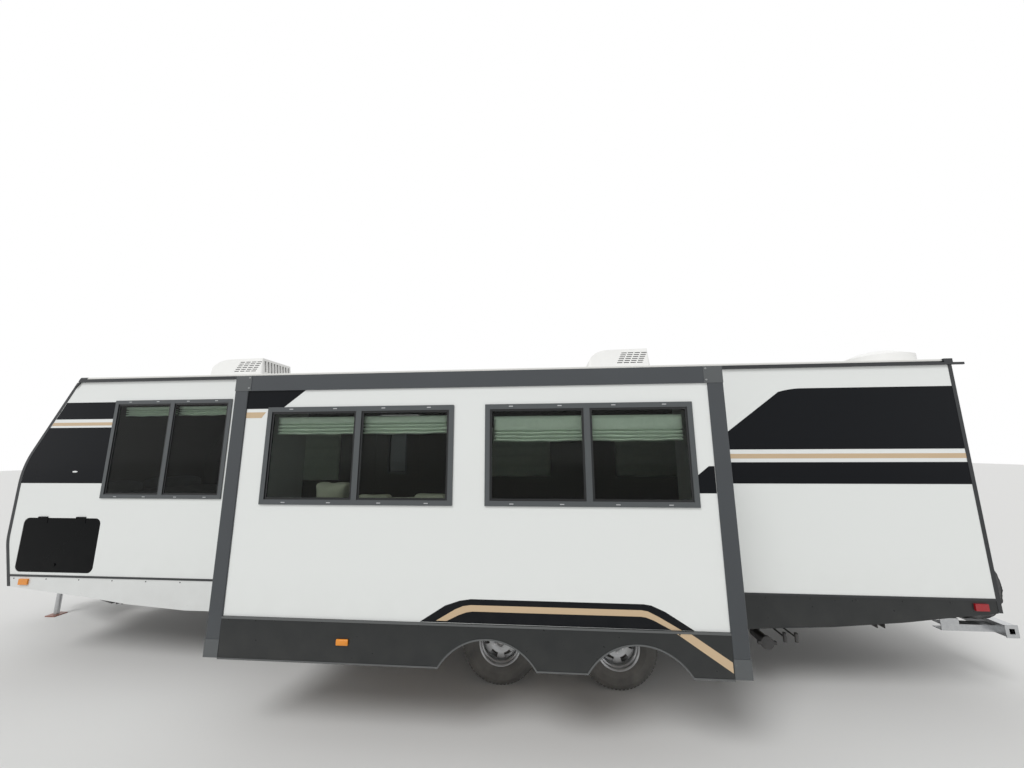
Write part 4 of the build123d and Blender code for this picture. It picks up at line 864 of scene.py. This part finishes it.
bm = bmesh.new()
cooler_low, cooler_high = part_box("air_conditioners")
margin = 0.012
for cooler_x in coolers:
    add_bead(bm, box_outline(cooler_x - margin, cooler_x + cooler_length + margin,
                             cooler_low.y - margin, cooler_high.y + margin))
add_piece("roof_sealant", bm, sealant, "body", smooth=60)

# Awning: powder-coated white arms and end caps, with the cloth rolled up between them, grey
# weatherproof fabric whose last turn shows.
arm_coat, tree, shader = finish("arm_coat", (0.68, 0.68, 0.665), 0.34, grain=80, tone=0.03)
roll_radius, roll_t = 0.055, 0.003
roll_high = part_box("awning")[1]
where, parts = places(tree, centre=(0, roll_high[1] - roll_radius, roll_high[2] - roll_radius))
across = calc(tree, "ADD", calc(tree, "POWER", parts[1], 2), calc(tree, "POWER", parts[2], 2))
rolled = calc(tree, "LESS_THAN", across, (roll_radius - roll_t) ** 2)
weave = add_node(tree, "ShaderNodeTexWave", {"Vector": where, "Scale": 90.0}, bands_direction="X")
overlay(tree, shader, rolled, (0.10, 0.105, 0.11), gloss=0.85)
emboss(tree, shader, calc(tree, "MULTIPLY", rolled, weave.outputs["Fac"]), 0.0004)
clad(arm_coat, "awning")

# Lamps: red ribbed lenses at the tail, on the rear markers and low on the rear skirts, and amber
# ones at the front and on the slide-out room's skirt. The inner third of each tail lamp is clear,
# for reversing, and its outer part has the round prisms of a reflector.
lens, tree, shader = finish("lamp_lens", (0.33, 0.004, 0.009), 0.12, coat=0.15, grain=50, tone=0.1)
where, parts = places(tree)
overlay(tree, shader, calc(tree, "LESS_THAN", parts[0], 0.0), (0.78, 0.27, 0.02))
tail_low, tail_high, tail_inner, tail_outer = 1.5, 1.8, 0.879, 1.141
clear_end, seam_end, prism_start = 0.964, 0.968, 1.059
at_tail = calc(tree, "MULTIPLY", between(tree, parts[2], tail_low, tail_high),
               calc(tree, "GREATER_THAN", parts[0], tail_wall))
from_middle = calc(tree, "ABSOLUTE", calc(tree, "SUBTRACT", parts[1], centre_y))
for start, end, color in ((tail_inner - 0.1, clear_end, (0.74, 0.75, 0.75)),
                          (clear_end, seam_end, (0.05, 0.004, 0.006))):
    section = between(tree, from_middle, start, end)
    overlay(tree, shader, calc(tree, "MULTIPLY", at_tail, section), color)
ribs = add_node(tree, "ShaderNodeTexWave", {"Vector": where, "Scale": 40.0}, bands_direction="Z")
emboss(tree, shader, ribs.outputs["Fac"], 0.0012)
prisms = add_node(tree, "ShaderNodeTexVoronoi",
                  {"Vector": where, "Scale": 110.0, "Randomness": 0.0})
on_prisms = calc(tree, "MULTIPLY", between(tree, from_middle, prism_start, tail_outer), at_tail)
emboss(tree, shader, calc(tree, "MULTIPLY", on_prisms, prisms.outputs["Distance"]), 0.004)
clad(lens, "tail_lamps")
lamp_x, lamp_z, lamp_half, lamp_rise, lamp_t = camera_x - 1.621, 0.782, 0.05, 0.023, 0.016
bm = bmesh.new()
bar(bm, (lamp_x - lamp_half, skirt_face - lamp_t, lamp_z - lamp_rise),
    (lamp_x + lamp_half, skirt_face, lamp_z + lamp_rise), bevel=0.006)
add_piece("skirt_lamp_room", bm, lens, "slide_out", smooth=40)

# Small clear lamp on the nose's black band: a white oval lens on each side, let into the wall
# so that only its domed front stands out.
clear_lens, _, _ = finish("clear_lens", (0.78, 0.80, 0.80), 0.15, coat=0.3, grain=80, tone=0.04)
oval_size, oval_x, oval_z = (0.066, 0.014, 0.021), camera_x - 5.40, 2.05
bm = bmesh.new()
for wall in (road_wall, door_wall):
    oval = bmesh.ops.create_uvsphere(bm, u_segments=24, v_segments=12, radius=0.5)["verts"]
    bmesh.ops.scale(bm, vec=oval_size, verts=oval)
    bmesh.ops.translate(bm, vec=(oval_x, wall, oval_z), verts=oval)
add_piece("nose_side_lamps", bm, clear_lens, "body", smooth=60)

# Screws: painted pan-head screws along the skirts' top edges and zinc ones in the flange's
# corner plates, two in each plate on its inner side, each sunk a little by the driver.
screw_zinc, _, _ = finish("screw_zinc", (0.30, 0.31, 0.31), 0.35, metallic=0.8, grain=300,
                          bump=0.0001)
screw_black, _, _ = finish("screw_black", (0.012, 0.012, 0.013), 0.3, mirror=0.4, grain=300,
                           bump=0.0001)
screw_head = ((0.2, 0.0), (0.2, 0.25), (0.46, 0.34), (0.43, 0.68), (0.25, 0.95), (0.0, 1.0),
              (0.0, 0.0))
screw_pitch, screw_start, screw_ends, screw_drop = 0.40, 0.06, 0.1, 0.022
corner_plate, plate_height, plate_inset, plate_foot = 0.152, 0.139, 0.020, 0.024


def add_screws(bm, spots, face_y, side, radius=0.0065):
    """Pan heads with a sunk centre at places (x, z) of a face on side -1 (road) or 1 (door)."""
    for x, z in spots:
        turned(bm, [(out * radius, share * radius) for out, share in screw_head], (x, face_y, z),
               10, out=(0, side, 0))


def screw_row(node):
    """Places along a skirt's top edge."""
    low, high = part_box(node)
    count = int((high.x - low.x - screw_ends) / screw_pitch) + 1
    return [(low.x + screw_start + index * screw_pitch, high.z - screw_drop)
            for index in range(count)]


low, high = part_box("slide_fascia")
bm = bmesh.new()
for inner_x in (low.x + corner_plate - plate_inset, high.x - corner_plate + plate_inset):
    spots = ((inner_x, high.z - plate_inset), (inner_x, high.z - plate_height + plate_foot))
    add_screws(bm, spots, low.y, -1, radius=0.009)
add_piece("flange_screws", bm, screw_zinc, "slide_out", smooth=50)
bm = bmesh.new()
for side, face_y in ((-1, road_wall), (1, door_wall)):
    for node in ("skirts_front", "skirts_rear"):
        surface = surface_of(node)
        for x, z in screw_row(node):
            found = surface.ray_cast(Vector((x, face_y + side, z)), Vector((0, -side, 0)))[0]
            if found and abs(found.y - face_y) < 0.02:
                add_screws(bm, ((x, z),), found.y, side)
add_piece("skirt_screws", bm, screw_black, "body", smooth=50)
bm = bmesh.new()
add_screws(bm, screw_row("slide_skirt"), skirt_face, -1)
add_piece("room_skirt_screws", bm, screw_black, "slide_out", smooth=50)

# Waste pipes: black moulded pipe with a satin skin, closed by a screwed cap and two pull valves,
# with road dust on it.
pipe_plastic, _, _ = finish("pipe_plastic", (0.02, 0.02, 0.022), 0.35, grain=120, tone=0.15,
                            dust=0.4, dust_top=0.8)
clad(pipe_plastic, "drain_outlet")

# Wheels and tyres: rolled steel rims welded to pressed discs with six hand holes, in silver paint,
# on six nuts round a bright centre cap, with a brake drum behind each. The radial tyres are
# moulded with raised rings on their sidewalls and five rows of blocks between open grooves.
disc_paint, _, _ = finish("disc_paint", (0.50, 0.51, 0.52), 0.38, metallic=0.6, grain=90,
                          tone=0.06, dust=0.3, dust_top=0.8)
rubber, _, _ = finish("rubber", (0.075, 0.075, 0.073), 0.75, mirror=0.3, grain=220, bump=0.0003,
                      tone=0.15, dust=0.5, dust_top=0.9)
nut_chrome, _, _ = finish("nut_chrome", (0.62, 0.62, 0.63), 0.16, metallic=1.0, grain=200,
                          bump=0.00005, tone=0.03)
half_section = ((0.0950, 0.203), (0.1080, 0.214), (0.1150, 0.240), (0.1168, 0.262),
                (0.1178, 0.264), (0.1178, 0.272), (0.1170, 0.274), (0.1172, 0.300),
                (0.1148, 0.322), (0.1158, 0.325), (0.1150, 0.330), (0.1130, 0.333),
                (0.1060, 0.356), (0.0950, 0.369), (0.0880, 0.372))
block_rows = ((0.0, 0.016, 0.030), (0.033, 0.026, 0.027), (-0.033, 0.026, 0.027),
              (0.0725, 0.034, 0.024), (-0.0725, 0.034, 0.024))
block_count, block_low, block_high, block_lean, tyre_turns = 64, 0.368, 0.3788, 0.35, 72
nut_circle, nut_radius, nut_height, nut_middle, nut_count = 0.070, 0.0125, 0.022, 0.0415, 6
rim_line = ((0.104, 0.222), (0.107, 0.218), (0.102, 0.206), (0.092, 0.196), (0.070, 0.194),
            (0.060, 0.182), (-0.020, 0.180), (-0.050, 0.182), (-0.070, 0.194), (-0.092, 0.196),
            (-0.102, 0.206), (-0.107, 0.218), (-0.104, 0.222), (-0.097, 0.222), (-0.095, 0.203),
            (-0.073, 0.202), (-0.050, 0.189), (0.052, 0.189), (0.066, 0.202), (0.095, 0.203),
            (0.097, 0.222))
disc_line = ((0.0315, 0.030), (0.0315, 0.060), (0.0315, 0.084), (0.0345, 0.093), (0.0400, 0.104),
             (0.0425, 0.116), (0.0425, 0.132), (0.0425, 0.148), (0.0390, 0.164), (0.0300, 0.176),
             (0.0180, 0.1825))
hub_line = ((0.0, 0.0), (0.0, 0.050), (0.034, 0.050), (0.062, 0.047), (0.072, 0.043), (0.072, 0.0))
drum_line = ((0.026, 0.0), (0.026, 0.120), (0.016, 0.146), (0.008, 0.150), (-0.036, 0.150),
             (-0.036, 0.155), (-0.050, 0.155), (-0.050, 0.140), (-0.046, 0.060), (-0.046, 0.0))
disc_t, hole_count, hole_span, hole_reach = 0.005, 6, 30, (0.110, 0.157)
cap_line = ((0.0875, 0.0), (0.0865, 0.020), (0.0815, 0.034), (0.0715, 0.044), (0.0635, 0.046),
            (0.0475, 0.046), (0.0475, 0.0))


def repeat_round(bm, axle, count):
    """Copies all there is in a mesh, evenly round the axle."""
    bmesh.ops.spin(bm, geom=bm.verts[:] + bm.edges[:] + bm.faces[:], cent=axle, axis=(0, 1, 0),
                   dvec=(0, 0, 0), angle=math.tau * (count - 1) / count, steps=count - 1,
                   use_duplicate=True)


def add_blocks(bm, axle, row, offset, width, length):
    """One ring of tread blocks, the outer rings slanted away from the middle."""
    block = bmesh.new()
    bar(block, (axle.x - length / 2, axle.y + offset - width / 2, axle.z + block_low),
        (axle.x + length / 2, axle.y + offset + width / 2, axle.z + block_high), bevel=0.0015)
    turn = Matrix.Rotation(row * math.tau / block_count / 2.3, 3, "Y")
    bmesh.ops.rotate(block, cent=axle, matrix=turn, verts=block.verts)
    if offset:
        for vert in block.verts:
            vert.co.x += math.copysign(block_lean, offset) * (vert.co.y - axle.y - offset)
    repeat_round(block, axle, block_count)
    ring = bpy.data.meshes.new("ring")
    block.to_mesh(ring)
    block.free()
    bm.from_mesh(ring)
    bpy.data.meshes.remove(ring)


for corner in ("front_left", "rear_left", "front_right", "rear_right"):
    low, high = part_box("tyre_" + corner)
    axle = (low + high) / 2
    side = -1 if axle.y < centre_y else 1
    out = (0, side, 0)
    bm = bmesh.new()
    turned(bm, [*half_section, *((-y, r) for y, r in reversed(half_section))], axle, tyre_turns,
           closed=True)
    for row, sizes in enumerate(block_rows):
        add_blocks(bm, axle, row, *sizes)
    tyre = add_piece("tread_" + corner, bm, rubber, "hub_" + corner, smooth=40)
    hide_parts("tyre_" + corner)

    bm = bmesh.new()
    turned(bm, disc_line, axle, tyre_turns, out)
    holes = []
    for face in bm.faces:
        spot = face.calc_center_median() - axle
        turn = math.degrees(math.atan2(spot.x, spot.z)) % (360 / hole_count)
        if (hole_reach[0] < math.hypot(spot.x, spot.z) < hole_reach[1]
                and abs(turn - 180 / hole_count) < hole_span / 2):
            holes.append(face)
    bmesh.ops.delete(bm, geom=holes, context="FACES")
    bmesh.ops.recalc_face_normals(bm, faces=bm.faces)
    plate = bmesh.ops.extrude_face_region(bm, geom=bm.faces[:])["geom"]
    bmesh.ops.translate(bm, vec=(0, -side * disc_t, 0), verts=verts_of(plate))
    turned(bm, rim_line, axle, tyre_turns, out, closed=True)
    turned(bm, hub_line, axle, tyre_turns, out)
    wheel = add_piece("disc_" + corner, bm, disc_paint, "hub_" + corner, smooth=35)
    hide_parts("wheel_" + corner)
    bm = bmesh.new()
    turned(bm, drum_line, axle, 48, out)
    add_piece("drum_" + corner, bm, chassis_paint, "hub_" + corner, smooth=35)

    bm = bmesh.new()
    facing = Matrix.Rotation(math.radians(90 * side), 4, "X").inverted()
    nut_place = Vector((axle.x, axle.y + side * nut_middle, axle.z + nut_circle))
    bmesh.ops.create_cone(bm, cap_ends=True, segments=6, radius1=nut_radius,
                          radius2=nut_radius * 0.8, depth=nut_height,
                          matrix=Matrix.Translation(nut_place) @ facing)
    repeat_round(bm, axle, nut_count)
    turned(bm, cap_line, axle, 32, out)
    add_piece("nuts_" + corner, bm, nut_chrome, "hub_" + corner, smooth=35)

# Spare wheel cover: black vinyl sewn from a round face and a band with a piped seam between
# them, drawn tight behind the tyre by elastic. It has crumpled along the band and at its hem.
vinyl, tree, shader = finish("cover_vinyl", (0.022, 0.023, 0.025), 0.34, mirror=0.6, grain=150,
                             bump=0.0005, tone=0.15, dust=0.15, dust_top=1.3)
pebbles = add_node(tree, "ShaderNodeTexVoronoi", {"Vector": places(tree)[0], "Scale": 420.0})
emboss(tree, shader, pebbles.outputs["Distance"], 0.0003)
low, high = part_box("spare_cover")
hub_y, hub_z = (low.y + high.y) / 2, (low.z + high.z) / 2
cover_line = ((0.0, 0.0), (0.0, 0.09), (0.0, 0.18), (0.001, 0.25), (0.003, 0.30), (0.007, 0.335),
              (0.016, 0.358), (0.024, 0.369), (0.029, 0.3745), (0.033, 0.369), (0.045, 0.3735),
              (0.07, 0.3755), (0.10, 0.3765), (0.13, 0.376), (0.16, 0.372), (0.185, 0.360),
              (0.203, 0.335), (0.211, 0.305), (0.214, 0.275), (0.212, 0.262), (0.206, 0.256))
cover_t, face_radius, band_width, turn_in, opening, hem_area = 0.0015, 0.37, 0.17, 0.36, 0.256, 0.06
fold_depth, crease_depth, tension, band_sag = 0.009, 0.005, 0.012, 0.0048
seam_sag, face_depth, gather_depth, gather_count = 0.006, 0.006, 0.030, 46


def ridge(*place):
    """How near a place is to one of the cloth's random creases, 0 on it."""
    return abs(noise.noise(Vector(place)))


bm = bmesh.new()
turned(bm, cover_line, (high.x - 0.001, hub_y, hub_z), 180, out=(-1, 0, 0))
for vert in bm.verts:
    across, up = vert.co.y - hub_y, vert.co.z - hub_z
    reach = math.hypot(across, up)
    depth = (high.x - vert.co.x) / (high.x - low.x)
    if reach > 0.05:
        turn = math.atan2(up, across)
        swirl = turn * 2.6 + depth * 1.5
        y, z = math.cos(turn), math.sin(turn)
        fold = 1 - 2.2 * ridge(y * 3.4, z * 3.4, depth * 2.4 + swirl * 0.2)
        crease = 1 - 2.4 * ridge(y * 8, z * 8, depth * 5 + 4)
        gather = max(0, depth - 0.72) * gather_depth * math.sin(gather_count * turn)
        on_band = min(1, max(0, (reach - 0.30) / 0.05))
        below = max(0, -up / reach)
        slack = fold_depth * fold + crease_depth * crease - tension + band_sag * below
        slack = slack * on_band - gather
        vert.co.y += across / reach * slack
        vert.co.z += up / reach * slack - seam_sag * on_band * below
        if depth < 0.5:
            face_fold = ridge(across * 5, up * 5, 1.5) + 0.5 * ridge(across * 13, up * 13, 5.5)
            vert.co.x -= face_depth * face_fold * min(1, max(0, (reach - 0.1) / 0.1))
cover = add_piece("spare_wheel_cover", bm, vinyl, "body", smooth=70)
thicken(cover, cover_t, -1)
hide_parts("spare_cover")
bm = bmesh.new()
spare_line = ((0.030, 0.12), (0.030, 0.20), (0.020, 0.24), (0.012, 0.30), (0.024, 0.352),
              (0.042, 0.366), (0.168, 0.366), (0.190, 0.350), (0.200, 0.30), (0.193, 0.24),
              (0.180, 0.20), (0.150, 0.18), (0.150, 0.12))
turned(bm, spare_line, (high.x - 0.004, hub_y, hub_z), 64, out=(-1, 0, 0), closed=True)
add_piece("spare_wheel", bm, rubber, "body", smooth=40)

# Floor and light: a plain pale floor, a white studio round it, and one broad lamp high in
# front of the nose's road side.
floor_mesh = bpy.data.meshes.new("floor")
floor_bm = bmesh.new()
bmesh.ops.create_grid(floor_bm, x_segments=1, y_segments=1, size=60)
floor_bm.to_mesh(floor_mesh)
new_object("floor", floor_mesh)
floor_material, _, _ = new_material("floor", (0.72, 0.72, 0.71), 0.8)
floor_mesh.materials.append(floor_material)

world = bpy.data.worlds.new("studio")
bpy.context.scene.world = world
world.use_nodes = True
backdrop = world.node_tree.nodes["Background"]
rays = add_node(world.node_tree, "ShaderNodeLightPath")
seen = calc(world.node_tree, "MAXIMUM", rays.outputs["Is Camera Ray"],
            rays.outputs["Is Glossy Ray"])
seen = calc(world.node_tree, "MAXIMUM", seen, rays.outputs["Is Transmission Ray"])
backdrop.inputs["Color"].default_value = (1, 1, 1, 1)
world.node_tree.links.new(scaled(world.node_tree, seen, 0.62, 1.0), backdrop.inputs["Strength"])

lamp_data = bpy.data.lights.new("key", "SUN")
lamp_data.energy = 1.5
lamp_data.angle = math.radians(25)
lamp = new_object("key", lamp_data)
lamp.rotation_euler = (math.radians(42), 0, math.radians(-28))
